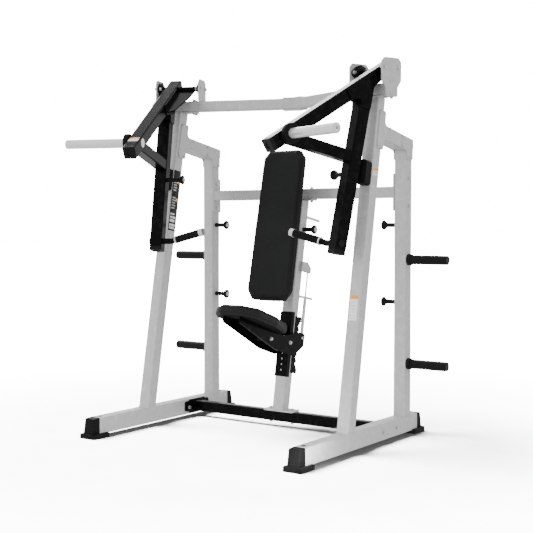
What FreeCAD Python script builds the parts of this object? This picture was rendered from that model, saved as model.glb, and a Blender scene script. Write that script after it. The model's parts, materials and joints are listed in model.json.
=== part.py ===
# Plate-loaded chest press machine: welded and bolted tube frame, two press arms that hang from
# angled pivots, a seat that slides up and down its post, and a fixed back pad.
# Millimetres. +X to the right of the machine seen from the front, +Y to the rear, +Z up. The
# origin is on the floor at the centre of the footprint.
import math
import os

import FreeCAD
import Part
import Sketcher

from FreeCAD import Placement, Rotation, Vector

# ---------------------------------------------------------------------------------------------
# Driving dimensions
# ---------------------------------------------------------------------------------------------

SIZES = {
    # square frame tube
    "tube": 70, "tube_wall": 3, "tube_corner": 7, "lean": 10, "plate": 8, "thin_plate": 6,
    # base rails and feet
    "rail_x": 656, "rail_half": 561, "rail_low": 18, "rail_deep": 90,
    "foot_wide": 105, "foot_end": 629, "foot_start": 506, "foot_lip": 25, "foot_corner": 13,
    "nose_corner": 6, "plug_long": 40, "plug_gap": 0.3,
    # base cross beam
    "beam_y": 256, "beam_deep": 50, "beam_low": 33.5, "beam_tall": 60,
    # uprights and the link between them
    "front_line": -160.4, "front_top": 1787.5, "rear_y": 451, "link_rear": 484,
    "link_line": 1645.4,
    # cross bar behind the post
    "crossbar": 60, "bar_z": 1315, "end_plate_tall": 200,
    # top beam and pivots
    "vee": 21, "pivot_x": 134.27, "pivot_y": 349.79, "pivot_z": 1930, "apex_n": -143.8,
    "top_beam": 60, "top_beam_low": 1795.5, "outer_plate_n": 674, "inner_plate_n": 416,
    "bearing_deep": 22, "bearing_half": 43, "shaft_radius": 10, "running_gap": 0.05,
    # press arms
    "arm_n": 562, "arm_wide": 70, "arm_deep": 68, "arm_slope": 30.4, "arm_drop": 8,
    "arm_rear": 70, "arm_front": 786, "hang_lean": 12.1, "hang_long": 822,
    "brace_deep": 60, "brace_wide": 64, "cap_deep": 22,
    "horn_radius": 25, "horn_root": 24, "sleeve_gap": 0.1, "horn_end": 1000,
    "collar_radius": 50, "collar_deep": 26,
    "handle_radius": 16, "grip_radius": 20, "grip_end_radius": 21.5, "handle_turn": 22.66,
    # seat post and what is fixed to it
    "post_line": 224.4, "post_low": 101.5, "post_top": 1277, "strip": 4,
    "notch_pitch": 35, "strut_back": 80, "strut_x": 40, "rod_radius": 5, "cylinder_radius": 10,
    # seat carriage
    "cheek_x": 51, "roller_radius": 18, "pin_radius": 7.5,
    "seat_long": 430, "seat_half": 145, "seat_thick": 62, "seat_tilt": 18.5,
    # back pad
    "back_top_y": 297, "back_low": 720, "back_high": 1556, "back_lean": 11.6, "back_thick": 58,
    "back_half": 137, "back_half_low": 146,
    # pegs and bumpers
    "store_radius": 25, "store_tip": 923, "store_root": 31, "band_radius": 12,
    "band_head": 26, "band_long": 86, "post_peg": 8, "post_peg_long": 175,
    "bumper_wide": 62, "bumper_deep": 56, "bumper_tall": 124, "bumper_low": 1331,
    "bolt_radius": 6, "bolt_head": 9.5, "bolt_tall": 8,
}

doc = FreeCAD.newDocument("ChestPress")
sheet = doc.addObject("Spreadsheet::Sheet", "Sizes")
for row, (alias, value) in enumerate(SIZES.items(), start=1):
    sheet.set(f"A{row}", alias)
    sheet.set(f"B{row}", str(value))
    sheet.setAlias(f"B{row}", alias)
doc.recompute()


def size(alias):
    """The value of one cell of the sheet."""
    return float(sheet.get(alias))


X_AXIS = Vector(1, 0, 0)
Y_AXIS = Vector(0, 1, 0)
Z_AXIS = Vector(0, 0, 1)
SIDEWAYS = Rotation(Vector(1, 1, 1), 120)      # local x, y, z lie along y, z, x

LEAN = size("lean")
LEAN_SLOPE = math.tan(math.radians(LEAN))
COS_LEAN = math.cos(math.radians(LEAN))
VEE = math.radians(size("vee"))
ARM_FRAME = Placement(Vector(size("pivot_x"), size("pivot_y"), size("pivot_z")),
                      Rotation(Z_AXIS, -size("vee")))
POST_FRAME = Placement(Vector(0, size("post_line"), 0), Rotation(X_AXIS, -LEAN))

nodes = {}          # name of each finished sub-part and its object


# ---------------------------------------------------------------------------------------------
# Helpers
# ---------------------------------------------------------------------------------------------

def bind(thing, name, value):
    """Set a property to a number, or bind it to an expression on the sheet."""
    if isinstance(value, str):
        thing.setExpression(name, value)
    else:
        setattr(thing, name, value)


def finish(thing, label):
    """Register an object as a sub-part of the machine."""
    thing.Label = label
    nodes[label] = thing
    return thing


def side_frame(x):
    """Placement whose local x, y, z lie along world y, z, x, starting at x."""
    return Placement(Vector(x, 0, 0), SIDEWAYS)


def new_body(name, placement):
    body = doc.addObject("PartDesign::Body", name)
    body.Placement = placement
    return body


def new_sketch(body, name, role="XY_Plane"):
    """A sketch on one of the body's own origin planes."""
    sketch = body.newObject("Sketcher::SketchObject", name)
    plane = [item for item in body.Origin.OriginFeatures if item.Role == role][0]
    sketch.AttachmentSupport = [(plane, "")]
    sketch.MapMode = "FlatFace"
    return sketch


def rounded_rectangle(sketch, width, depth, radius, tag):
    """Four lines and four tangent arcs about the origin, driven by three named dimensions."""
    wide, deep, round_ = (sheet.evalExpression(text) for text in (width, depth, radius))
    wide, deep, round_ = (float(getattr(v, "Value", v)) for v in (wide, deep, round_))
    first = sketch.GeometryCount
    inner = Vector(wide / 2 - round_, deep / 2 - round_)
    corners = [Vector(sx * inner.x, sy * inner.y) for sx, sy in ((1, -1), (1, 1), (-1, 1), (-1, -1))]
    for index, corner in enumerate(corners):
        before = corners[index - 1]
        turn = math.radians(90 * index - 90)
        out = Vector(math.cos(turn), math.sin(turn)) * round_
        sketch.addGeometry(Part.LineSegment(before + out, corner + out))
        circle = Part.Circle(corner, Z_AXIS, round_)
        sketch.addGeometry(Part.ArcOfCircle(circle, turn, turn + math.pi / 2))
    for index in range(4):
        line, arc = first + 2 * index, first + 2 * index + 1
        following = first + (2 * index + 2) % 8
        sketch.addConstraint(Sketcher.Constraint("Tangent", line, 2, arc, 1))
        sketch.addConstraint(Sketcher.Constraint("Tangent", arc, 2, following, 1))
        sketch.addConstraint(Sketcher.Constraint("Vertical" if index % 2 else "Horizontal", line))
        if index:
            sketch.addConstraint(Sketcher.Constraint("Equal", first + 1, arc))
    sketch.addConstraint(Sketcher.Constraint("Symmetric", first + 1, 3, first + 5, 3, -1, 1))
    driving = (("DistanceX", first + 6, first + 2, wide, "wide", width),
               ("DistanceY", first, first + 4, deep, "deep", depth))
    for kind, low, high, value, name, expression in driving:
        number = sketch.addConstraint(Sketcher.Constraint(kind, low, 1, high, 1, value))
        sketch.renameConstraint(number, name + tag)
        sketch.setExpression(f"Constraints.{name}{tag}", expression)
    number = sketch.addConstraint(Sketcher.Constraint("Radius", first + 1, round_))
    sketch.renameConstraint(number, "round" + tag)
    sketch.setExpression("Constraints.round" + tag, radius)


def trim(body, station, tilt, keep_above, about):
    """Cut a body by a plane that crosses its local z axis at a station, tilted about an axis."""
    reach = 400.0
    turn = Rotation(about, tilt)
    low = -reach if keep_above else 0.0
    block = body.newObject("PartDesign::SubtractiveBox", "Trim")
    block.Length = block.Width = block.Height = reach
    corner = turn.multVec(Vector(-reach / 2, -reach / 2, low))
    block.Placement = Placement(Vector(0, 0, station) + corner, turn)
    return block


def tube(name, width, depth, start, end, placement, cuts=(), wall="Sizes.tube_wall"):
    """Hollow rounded tube along local z; cuts are (station, tilt, keep_above, axis)."""
    margin = 60.0 if cuts else 0.0
    body = new_body(name, placement * Placement(Vector(0, 0, start - margin), Rotation()))
    sketch = new_sketch(body, name + "Section")
    rounded_rectangle(sketch, width, depth, "Sizes.tube_corner", "_out")
    rounded_rectangle(sketch, f"{width} - 2 * {wall}", f"{depth} - 2 * {wall}",
                      f"Sizes.tube_corner - {wall}", "_in")
    pad = body.newObject("PartDesign::Pad", name + "Pad")
    pad.Profile = sketch
    pad.Length = end - start + 2 * margin
    sketch.Visibility = False
    for station, tilt, keep_above, about in cuts:
        trim(body, station - start + margin, tilt, keep_above, about)
    return body


def outline_edges(points):
    """Closed outline through (u, v) points; a third number rounds that corner."""
    edges = []
    count = len(points)
    ends = []
    for index in range(count):
        here = Vector(points[index][0], points[index][1])
        radius = points[index][2] if len(points[index]) > 2 else 0
        if not radius:
            ends.append((here, here))
            continue
        back = (Vector(*points[index - 1][:2]) - here).normalize()
        ahead = (Vector(*points[(index + 1) % count][:2]) - here).normalize()
        half = back.getAngle(ahead) / 2
        reach = radius / math.tan(half)
        middle = here + (back + ahead).normalize() * (radius / math.sin(half) - radius)
        first, last = here + back * reach, here + ahead * reach
        ends.append((first, last))
        edges.append(Part.Arc(first, middle, last))
    for index in range(count):
        start, stop = ends[index][1], ends[(index + 1) % count][0]
        if start.distanceToPoint(stop) > 1e-6:
            edges.append(Part.LineSegment(start, stop))
    return edges


def plate(name, points, thickness, placement, holes=(), midplane=False):
    """Flat plate: a sketched outline with round holes (u, v, radius), padded along local z."""
    body = new_body(name, placement)
    sketch = new_sketch(body, name + "Outline")
    for edge in outline_edges(points):
        sketch.addGeometry(edge)
    for u, v, radius in holes:
        sketch.addGeometry(Part.Circle(Vector(u, v), Z_AXIS, radius))
    pad = body.newObject("PartDesign::Pad", name + "Pad")
    pad.Profile = sketch
    pad.Midplane = midplane
    bind(pad, "Length", thickness)
    sketch.Visibility = False
    return body


def spun(name, profile, placement):
    """Solid of revolution about local z; the profile is a list of (radius, z) points."""
    body = new_body(name, placement)
    sketch = new_sketch(body, name + "Profile", "XZ_Plane")
    for edge in outline_edges(profile):
        sketch.addGeometry(edge)
    turned = body.newObject("PartDesign::Revolution", name + "Turned")
    turned.Profile = sketch
    turned.ReferenceAxis = (sketch, ["V_Axis"])
    turned.Angle = 360
    sketch.Visibility = False
    return body


def cylinder(name, radius, height, placement):
    rod = doc.addObject("Part::Cylinder", name)
    bind(rod, "Radius", radius)
    bind(rod, "Height", height)
    rod.Placement = placement
    return rod


def block(name, length, width, height, placement):
    box = doc.addObject("Part::Box", name)
    for prop, value in (("Length", length), ("Width", width), ("Height", height)):
        bind(box, prop, value)
    box.Placement = placement
    return box


def cut(name, base, tool):
    result = doc.addObject("Part::Cut", name)
    result.Base, result.Tool = base, tool
    return result


def eased(name, base, radius, wanted):
    """Round those edges of a piece that answer a question about their place or direction."""
    doc.recompute()
    result = doc.addObject("Part::Fillet", name)
    result.Base = base
    result.Edges = [(number, radius, radius)
                    for number, edge in enumerate(base.Shape.Edges, start=1) if wanted(edge)]
    return result


def along_y(edge):
    return edge.BoundBox.YLength > 1 and edge.BoundBox.XLength + edge.BoundBox.ZLength < 0.01


def fuse(name, pieces):
    result = doc.addObject("Part::MultiFuse", name)
    result.Shapes = pieces
    return result


def group(name, pieces):
    result = doc.addObject("Part::Compound", name)
    result.Links = pieces
    return result


def mirrored(source, name):
    """The same piece on the other side of the machine's middle plane."""
    twin = doc.addObject("Part::Mirroring", name)
    twin.Source = source
    twin.Normal = X_AXIS
    return twin


def both_sides(name, right_piece):
    """One piece on the right side and its twin on the left, as two nodes."""
    finish(right_piece, "right_" + name)
    finish(mirrored(right_piece, "Left_" + name), "left_" + name)


def pair(name, right_pieces):
    """Pieces of the right side and their twins, kept in one node as separate solids."""
    twins = [mirrored(piece, f"{name}_twin") for piece in right_pieces]
    finish(group(name + "_group", right_pieces + twins), name)


def facing(point, direction):
    """Placement with local z along a direction."""
    return Placement(point, Rotation(Z_AXIS, direction))


def drilled(name, base, holes):
    """Cut round holes; each is (placement, radius, length) with the hole along local z."""
    tools = [cylinder(f"{name}_drill", radius, length, place) for place, radius, length in holes]
    tool = tools[0] if len(tools) == 1 else group(f"{name}_drills", tools)
    return cut(name, base, tool)


BOLT = size("bolt_radius")
HOLE = BOLT + 0.3
bolt_shapes = []


def bolt(point, direction, grip, nut=True):
    """Hex bolt: head with washer at the point, shank along the direction, nut past the grip."""
    head, tall = size("bolt_head"), size("bolt_tall")
    washer = 2.0
    across = [Vector(head * math.cos(math.radians(60 * k)), head * math.sin(math.radians(60 * k)))
              for k in range(7)]

    def hexagon(z):
        face = Part.Face(Part.makePolygon([corner + Vector(0, 0, z) for corner in across]))
        return face.extrude(Vector(0, 0, tall))

    solid = Part.makeCylinder(head + 1.5, washer, Vector(0, 0, -washer))
    solid = solid.fuse(hexagon(-washer - tall))
    solid = solid.fuse(Part.makeCylinder(BOLT, grip + (tall + washer if nut else 0)))
    if nut:
        solid = solid.fuse(Part.makeCylinder(head + 1.5, washer, Vector(0, 0, grip)))
        solid = solid.fuse(hexagon(grip + washer))
    solid.Placement = facing(point, direction)
    return solid


def mirror_shape(shape):
    return shape.mirror(Vector(), X_AXIS)


# ---------------------------------------------------------------------------------------------
# Base
# ---------------------------------------------------------------------------------------------

TUBE = size("tube")
RAIL_X = size("rail_x")
RAIL_TOP = size("rail_low") + size("rail_deep")
RAIL_IN = RAIL_X - TUBE / 2
RAIL_OUT = RAIL_X + TUBE / 2


def base_rail():
    half = size("rail_half")
    middle = size("rail_low") + size("rail_deep") / 2
    place = Placement(Vector(RAIL_X, 0, middle), Rotation(X_AXIS, -90))
    return tube("Rail", "Sizes.tube", "Sizes.rail_deep", -half, half, place)


def foot_cap(facing_rear):
    """Rubber foot: a wide flange on the floor, a sloping nose and a plug inside the rail's end."""
    way = 1 if facing_rear else -1
    end, start, lip = size("foot_end"), size("foot_start"), size("foot_lip")
    rail, low, deep = size("rail_half"), size("rail_low"), size("rail_deep")
    wide, corner = size("foot_wide"), size("foot_corner")
    outline = [(-wide / 2, way * start, 3), (wide / 2, way * start, 3),
               (wide / 2, way * end, corner), (-wide / 2, way * end, corner)]
    floor_place = Placement(Vector(RAIL_X, 0, 0), Rotation())
    flange = plate("FootFlange", outline, "Sizes.foot_lip", floor_place)
    flange = eased("FootFlangeEased", flange, 4,
                   lambda edge: all(abs(v.Z - lip) < 0.01 for v in edge.Vertexes))
    side = [(way * rail, 5), (way * (rail + 55), 5), (way * (rail + 54), lip),
            (way * (rail + 40), low + deep - 3, 7), (way * rail, low + deep)]
    nose = plate("FootNose", side, "Sizes.tube", side_frame(RAIL_IN))
    nose = eased("FootNoseEased", nose, size("nose_corner"),
                 lambda edge: edge.BoundBox.ZLength > deep / 2 and edge.BoundBox.YLength > 5)
    groove_y = way * (start + 22)
    grooves = [cylinder("FootGroove", 4, lip + 10, Placement(Vector(x, groove_y, -5), Rotation()))
               for x in (RAIL_X - wide / 2 - 2, RAIL_X + wide / 2 + 2)]
    low_y = min(way * (start - 10), way * rail)
    space = block("FootSpace", "Sizes.tube", rail - start + 10, "Sizes.rail_deep",
                  Placement(Vector(RAIL_IN, low_y, low), Rotation()))
    body = cut("FootShell", fuse("FootSolid", [flange, nose]), group("FootCuts", grooves + [space]))
    gap, wall, long_ = size("plug_gap"), size("tube_wall"), size("plug_long")
    plug_y = min(way * (rail - long_), way * (rail + 2))
    plug = block("FootPlug", f"Sizes.tube - 2 * ({wall} + {gap})", long_ + 2,
                 f"Sizes.rail_deep - 2 * ({wall} + {gap})",
                 Placement(Vector(RAIL_IN + wall + gap, plug_y, low + wall + gap), Rotation()))
    return fuse("FootCap", [body, eased("FootPlugEased", plug, 4, along_y)])


BEAM_MID_Z = size("beam_low") + size("beam_tall") / 2
BEAM_Y = size("beam_y")
BASE_BOLTS_Y = (182.5, 329.0)
BASE_PLATE = size("plate")


def base_beam():
    reach = RAIL_IN - BASE_PLATE
    place = Placement(Vector(0, BEAM_Y, BEAM_MID_Z), SIDEWAYS)
    beam = tube("BaseBeam", "Sizes.beam_deep", "Sizes.beam_tall", -reach, reach, place)
    holes = [(Placement(Vector(x, POST_BOLT_Y, size("beam_low") - 5), Rotation()), HOLE, 80)
             for x in (-POST_BOLT_X, POST_BOLT_X)]
    return drilled("BaseBeamDrilled", beam, holes)


def base_end_plate():
    """Eared plate, welded to the end of the base beam and bolted to the rail."""
    ear, tab = 109, 68
    outline = [(BEAM_Y - ear, 36, 14), (BEAM_Y - tab, 36, 8), (BEAM_Y - tab, 24, 6),
               (BEAM_Y + tab, 24, 6), (BEAM_Y + tab, 36, 8), (BEAM_Y + ear, 36, 14),
               (BEAM_Y + ear, 96, 14), (BEAM_Y + tab, 96, 8), (BEAM_Y + tab, 104, 6),
               (BEAM_Y - tab, 104, 6), (BEAM_Y - tab, 96, 8), (BEAM_Y - ear, 96, 14)]
    holes = [(y, 60, HOLE) for y in BASE_BOLTS_Y]
    return plate("BaseEndPlate", outline, "Sizes.plate", side_frame(RAIL_IN - BASE_PLATE), holes)


def across_holes(places, start=RAIL_IN - 5, length=TUBE + 10):
    """Holes along x through both walls of a side tube, at (y, z) places."""
    return [(Placement(Vector(start, y, z), Rotation(Y_AXIS, 90)), HOLE, length)
            for y, z in places]


# ---------------------------------------------------------------------------------------------
# Uprights, links and their plates
# ---------------------------------------------------------------------------------------------

FRONT_LINE = size("front_line")
REAR_Y = size("rear_y")
LINK_LINE = size("link_line")
CROSSING_Y = (FRONT_LINE + LEAN_SLOPE * LINK_LINE) / (1 + LEAN_SLOPE ** 2)
CROSSING_Z = LINK_LINE - LEAN_SLOPE * CROSSING_Y
LINK_FRAME = Placement(Vector(RAIL_X, CROSSING_Y, CROSSING_Z), Rotation(X_AXIS, -90 - LEAN))
LINK_END = (size("link_rear") - CROSSING_Y) / COS_LEAN
BAR_BOLTS_Z = (1240.0, 1388.0)
END_PLATE_BOLTS = [(REAR_Y, z) for z in BAR_BOLTS_Z]


def front_upright():
    foot = Vector(RAIL_X, FRONT_LINE + LEAN_SLOPE * RAIL_TOP, RAIL_TOP)
    place = Placement(foot, Rotation(X_AXIS, -LEAN))
    long_ = (size("front_top") - RAIL_TOP) / COS_LEAN
    cuts = [(0, LEAN, True, X_AXIS), (long_, LEAN, False, X_AXIS)]
    return tube("FrontUpright", "Sizes.tube", "Sizes.tube", 0, long_, place, cuts)


def rear_upright():
    top = LINK_LINE - LEAN_SLOPE * REAR_Y - TUBE / 2 / COS_LEAN
    place = Placement(Vector(RAIL_X, REAR_Y, 0), Rotation())
    cuts = [(RAIL_TOP, 0, True, X_AXIS), (top, -LEAN, False, X_AXIS)]
    upright = tube("RearUpright", "Sizes.tube", "Sizes.tube", RAIL_TOP, top, place, cuts)
    return drilled("RearUprightDrilled", upright, across_holes(END_PLATE_BOLTS))


def link_tube():
    return tube("LinkTube", "Sizes.tube", "Sizes.tube", TUBE / 2, LINK_END, LINK_FRAME)


def link_end_cap():
    """Cap on the rear end of the link, with a plug inside the tube."""
    half, inner = TUBE / 2, TUBE / 2 - size("tube_wall") - 0.2
    square = [(-half, -half, 7), (half, -half, 7), (half, half, 7), (-half, half, 7)]
    small = [(-inner, -inner, 4), (inner, -inner, 4), (inner, inner, 4), (-inner, inner, 4)]
    cover = plate("LinkCover", square, "Sizes.plate", LINK_FRAME * facing(Vector(0, 0, LINK_END), Z_AXIS))
    plug = plate("LinkPlug", small, 25, LINK_FRAME * facing(Vector(0, 0, LINK_END - 25), Z_AXIS))
    return fuse("LinkCap", [cover, plug])


GUSSET_END = 235.0


def gusset_plate(x):
    """T-shaped side plate that joins the link to the front upright."""
    half = TUBE / 2
    front, rear, low, high = -17.0, 44.0, -95.0, 105.0
    outline = [(front, low, 12), (front, high, 12), (rear, high, 12), (rear, half, 26),
               (GUSSET_END, half), (GUSSET_END, -half), (rear, -half, 26), (rear, low, 12)]
    place = Placement(Vector(x, CROSSING_Y, CROSSING_Z), Rotation(X_AXIS, -LEAN)) * side_frame(0)
    return plate("Gusset", outline, "Sizes.thin_plate", place)


def corner_plate(x):
    """Side plate that joins the link to the rear upright."""
    split_y = CROSSING_Y + (GUSSET_END + 1.5) * COS_LEAN
    rise = TUBE / 2 / COS_LEAN

    def link_edge(y, side):
        return LINK_LINE - LEAN_SLOPE * y + side * rise

    half = TUBE / 2 - 3
    low, shoulder = 1487.0, REAR_Y + TUBE / 2 + 2
    outline = [(split_y, link_edge(split_y, 1)), (shoulder, link_edge(shoulder, 1), 6),
               (shoulder, link_edge(shoulder, 1) - 46, 6), (REAR_Y + half, 1540, 6),
               (REAR_Y + half, low, 12), (REAR_Y - half, low, 12),
               (REAR_Y - half, link_edge(REAR_Y - half, -1), 22),
               (split_y, link_edge(split_y, -1))]
    return plate("Corner", outline, "Sizes.thin_plate", side_frame(x))


def mid_crossbar():
    reach = RAIL_IN - size("plate")
    place = Placement(Vector(0, REAR_Y, size("bar_z")), SIDEWAYS)
    bar = tube("Crossbar", "Sizes.crossbar", "Sizes.crossbar", -reach, reach, place)
    holes = [(Placement(Vector(x, REAR_Y, size("bar_z") - 40), Rotation()), HOLE, 80)
             for x in (-POST_BOLT_X, POST_BOLT_X)]
    return drilled("CrossbarDrilled", bar, holes)


def crossbar_end_plate():
    half, tall = TUBE / 2, size("end_plate_tall") / 2
    middle = size("bar_z")
    outline = [(REAR_Y - half, middle - tall, 8), (REAR_Y + half, middle - tall, 8),
               (REAR_Y + half, middle + tall, 8), (REAR_Y - half, middle + tall, 8)]
    holes = [(REAR_Y, z, HOLE) for z in BAR_BOLTS_Z]
    return plate("BarEndPlate", outline, "Sizes.plate", side_frame(RAIL_IN - size("plate")), holes)


# ---------------------------------------------------------------------------------------------
# Top beam and pivots, in the frame of the right pivot: x outward, y rearward, z up
# ---------------------------------------------------------------------------------------------

BEAM_HALF = size("top_beam") / 2
BEAM_LOW_DZ = size("top_beam_low") - size("pivot_z")
OUTER_N = size("outer_plate_n")
INNER_N = size("inner_plate_n")
PLATE = size("plate")
TOP_BOLTS = [(n, e) for n in (461.0, 657.0) for e in (-20.0, 20.0)]
BEARING_BOLT_E = 44.0


def arm_side(n):
    """Placement in the pivot frame whose local x, y, z lie rearward, up and outward."""
    return ARM_FRAME * side_frame(n)


def top_beam():
    place = ARM_FRAME * Placement(Vector(0, 0, BEAM_LOW_DZ + BEAM_HALF), SIDEWAYS)
    apex = size("apex_n")
    cuts = [(apex, size("vee"), True, Y_AXIS), (OUTER_N, 0, False, Y_AXIS)]
    beam = tube("TopBeam", "Sizes.top_beam", "Sizes.top_beam", apex, OUTER_N, place, cuts)
    holes = [(ARM_FRAME * Placement(Vector(n, e, BEAM_LOW_DZ - 5), Rotation()), HOLE, 70)
             for n, e in TOP_BOLTS]
    return drilled("TopBeamDrilled", beam, holes)


def apex_plate(z):
    """V-shaped plate over the mitre of the two beams."""
    half, along = BEAM_HALF - 2, 75.0
    apex_y = size("pivot_y") + math.tan(VEE) * size("pivot_x")
    tip = Vector(along * math.cos(VEE), apex_y - along * math.sin(VEE))
    out = Vector(math.sin(VEE), math.cos(VEE)) * half
    rear, front = tip + out, tip - out
    outline = [(rear.x, rear.y, 8), (0, apex_y + half / math.cos(VEE), 12), (-rear.x, rear.y, 8),
               (-front.x, front.y, 8), (0, apex_y - half / math.cos(VEE), 12), (front.x, front.y, 8)]
    return plate("ApexPlate", outline, "Sizes.thin_plate", Placement(Vector(0, 0, z), Rotation()))


def upright_top_plate():
    """Plate welded on top of the front upright, bolted to the beam."""
    half = BEAM_HALF + 2
    low_n, high_n = 444.0, OUTER_N
    outline = [(low_n, -half, 10), (high_n, -half, 10), (high_n, half, 10), (low_n, half, 10)]
    holes = [(n, e, HOLE) for n, e in TOP_BOLTS]
    place = ARM_FRAME * Placement(Vector(0, 0, size("front_top") - size("pivot_z")), Rotation())
    return plate("TopPlate", outline, "Sizes.plate", place, holes)


def pivot_plate(n, notched):
    """Upright plate that carries one flange bearing of the arm."""
    shoulder = [(63, -64, 14), (63, 30, 14), (45, 50, 12), (-45, 50, 12), (-63, 30, 14),
                (-63, -64, 14), (-39, -100, 10)]
    if notched:
        inner, depth, lobe = BEAM_HALF + 0.2, BEAM_LOW_DZ + 2 * BEAM_HALF + 0.2, -130.0
        foot = [(-39, lobe, 4), (-inner, lobe, 2), (-inner, depth), (inner, depth),
                (inner, lobe, 2), (39, lobe, 4), (39, -100, 10)]
    else:
        foot = [(-39, -146, 10), (39, -146, 10), (39, -100, 10)]
    holes = [(side * BEARING_BOLT_E, 0, HOLE) for side in (1, -1)]
    return plate("PivotPlate", shoulder + foot, "Sizes.plate", arm_side(n), holes)


def flange_bearing(n, outward):
    """Two-bolt flange unit: a lozenge base and a domed housing round the shaft."""
    half, end, reach = size("bearing_half"), 13.0, 43.0
    deep, base = size("bearing_deep"), 12.0
    slope = math.asin((half - end) / reach)
    tangent = Vector(math.sin(slope), math.cos(slope))
    top, side = tangent * half, Vector(reach, 0) + tangent * end
    lozenge = [(side.x, side.y), (top.x, top.y), (0, half), (-top.x, top.y), (-side.x, side.y),
               (-reach - end, 0, end - 4), (-side.x, -side.y), (-top.x, -top.y), (0, -half),
               (top.x, -top.y), (side.x, -side.y), (reach + end, 0, end - 4)]
    bore = size("shaft_radius") + size("running_gap")
    way = 1 if outward else -1
    place = arm_side(n) if outward else arm_side(n - base)
    holes = [(0, 0, bore)] + [(way_ * BEARING_BOLT_E, 0, HOLE) for way_ in (1, -1)]
    foot = plate("BearingBase", lozenge, base, place, holes)
    dome = spun("BearingDome", [(bore, base), (33, base), (29, deep - 2, 4), (22, deep), (bore, deep)],
                ARM_FRAME * facing(Vector(n, 0, 0), Vector(way, 0, 0)))
    return fuse("Bearing", [foot, dome])


# ---------------------------------------------------------------------------------------------
# Press arm, in the frame of the right pivot
# ---------------------------------------------------------------------------------------------

SLOPE = math.radians(size("arm_slope"))
ALONG = Vector(-math.cos(SLOPE), -math.sin(SLOPE))        # down the upper tube, in (rear, up)
ABOVE = Vector(-math.sin(SLOPE), math.cos(SLOPE))
HANG_LEAN = math.radians(size("hang_lean"))
DOWN = Vector(-math.sin(HANG_LEAN), -math.cos(HANG_LEAN))
FORWARD = Vector(-math.cos(HANG_LEAN), math.sin(HANG_LEAN))
ARM_N = size("arm_n")
ARM_WIDE = size("arm_wide")
ARM_MID = ARM_N + ARM_WIDE / 2
ARM_HALF = size("arm_deep") / 2
UNDER = -size("arm_drop") - ARM_HALF
HANG_TOP = ALONG * 150.0 + ABOVE * UNDER                  # where the hanging tube starts
HORN = ALONG * 690.0 - ABOVE * size("arm_drop")
BRACE_STATION = 352.0
HANDLE = HANG_TOP + DOWN * 790.0 + FORWARD * 8.0
ARM_PEG = HANG_TOP + DOWN * 435.0 + FORWARD * 2.0


def in_arm(spot, n):
    """Point of the pivot frame from a (rear, up) spot and a distance outward."""
    return Vector(n, spot.x, spot.y)


def arm_tube_frame(spot, direction):
    """Local z along a (rear, up) direction, local x outward."""
    turn = math.degrees(math.atan2(direction.x, direction.y))
    return ARM_FRAME * Placement(in_arm(spot, ARM_MID), Rotation(X_AXIS, -turn))


def arm_drill(spot, radius, low=ARM_N - 20, length=ARM_WIDE + 40):
    return (ARM_FRAME * facing(in_arm(spot, low), X_AXIS), radius, length)


def upper_tube():
    place = arm_tube_frame(ABOVE * -size("arm_drop"), ALONG)
    upper = tube("UpperTube", "Sizes.arm_wide", "Sizes.arm_deep", -size("arm_rear"),
                 size("arm_front"), place)
    return drilled("UpperTubeDrilled", upper,
                   [arm_drill(Vector(), 14), arm_drill(HORN, size("horn_root"))])


def hanging_tube():
    place = arm_tube_frame(HANG_TOP, DOWN)
    tilt = size("arm_slope") + size("hang_lean")
    cuts = [(0, tilt, True, X_AXIS), (size("hang_long"), 0, False, X_AXIS)]
    hanging = tube("HangingTube", "Sizes.arm_wide", "Sizes.arm_deep", 0, size("hang_long"), place, cuts)
    return drilled("HangingTubeDrilled", hanging, [arm_drill(HANDLE, size("handle_radius"))])


def brace_tube():
    """Square to the hanging tube, up to the underside of the upper tube."""
    start = HANG_TOP + DOWN * BRACE_STATION
    place = arm_tube_frame(start, FORWARD)
    drop = (start.dot(ABOVE) - UNDER) / -FORWARD.dot(ABOVE)
    tilt = size("arm_slope") + size("hang_lean") - 90
    cuts = [(ARM_HALF, 0, True, X_AXIS), (drop, tilt, False, X_AXIS)]
    return tube("Brace", "Sizes.brace_wide", "Sizes.brace_deep", ARM_HALF, drop, place, cuts)


def side_plate(n):
    """Plate that ties the hanging tube to the upper tube."""
    inset = 5.0
    low = 100.0
    spots = [(ALONG * 40 + ABOVE * (UNDER + inset), 10),
             (ALONG * 40 + ABOVE * (ARM_HALF - size("arm_drop") - inset), 10),
             (ALONG * 278 + ABOVE * (ARM_HALF - size("arm_drop") - inset), 14),
             (ALONG * 278 + ABOVE * (UNDER + inset), 14),
             (HANG_TOP + DOWN * 52 + FORWARD * (ARM_HALF - inset), 18),
             (HANG_TOP + DOWN * low + FORWARD * (ARM_HALF - inset), 10),
             (HANG_TOP + DOWN * low - FORWARD * (ARM_HALF - inset), 10),
             (HANG_TOP - DOWN * 22 - FORWARD * (ARM_HALF - inset), 12)]
    outline = [(spot.x, spot.y, radius) for spot, radius in spots]
    return plate("SidePlate", outline, "Sizes.thin_plate", arm_side(n))


def shaft_web():
    """Tapered plate between the hub and the inner face of the upper tube."""
    hub = 14.0
    outline = [(hub, 460), (100, 468), (278, 503, 20), (300, 525, 20), (300, ARM_N), (hub, ARM_N)]
    along = Vector(0, ALONG.x, ALONG.y)
    flat = Rotation(along, X_AXIS, along.cross(X_AXIS), "XYZ")
    place = ARM_FRAME * Placement(in_arm(ABOVE * -size("arm_drop"), 0), flat)
    return plate("ShaftWeb", outline, "Sizes.plate", place, midplane=True)


def arm_shaft():
    shaft, hub = size("shaft_radius"), 14.0
    low, high = INNER_N + PLATE + 1, OUTER_N - 1
    hub_low, hub_high = INNER_N + PLATE + size("bearing_deep") + 2, OUTER_N - size("bearing_deep") - 2
    profile = [(0, low), (shaft, low), (shaft, hub_low), (hub, hub_low), (hub, hub_high),
               (shaft, hub_high), (shaft, high), (0, high)]
    return spun("Shaft", profile, ARM_FRAME * facing(Vector(), X_AXIS))


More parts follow.
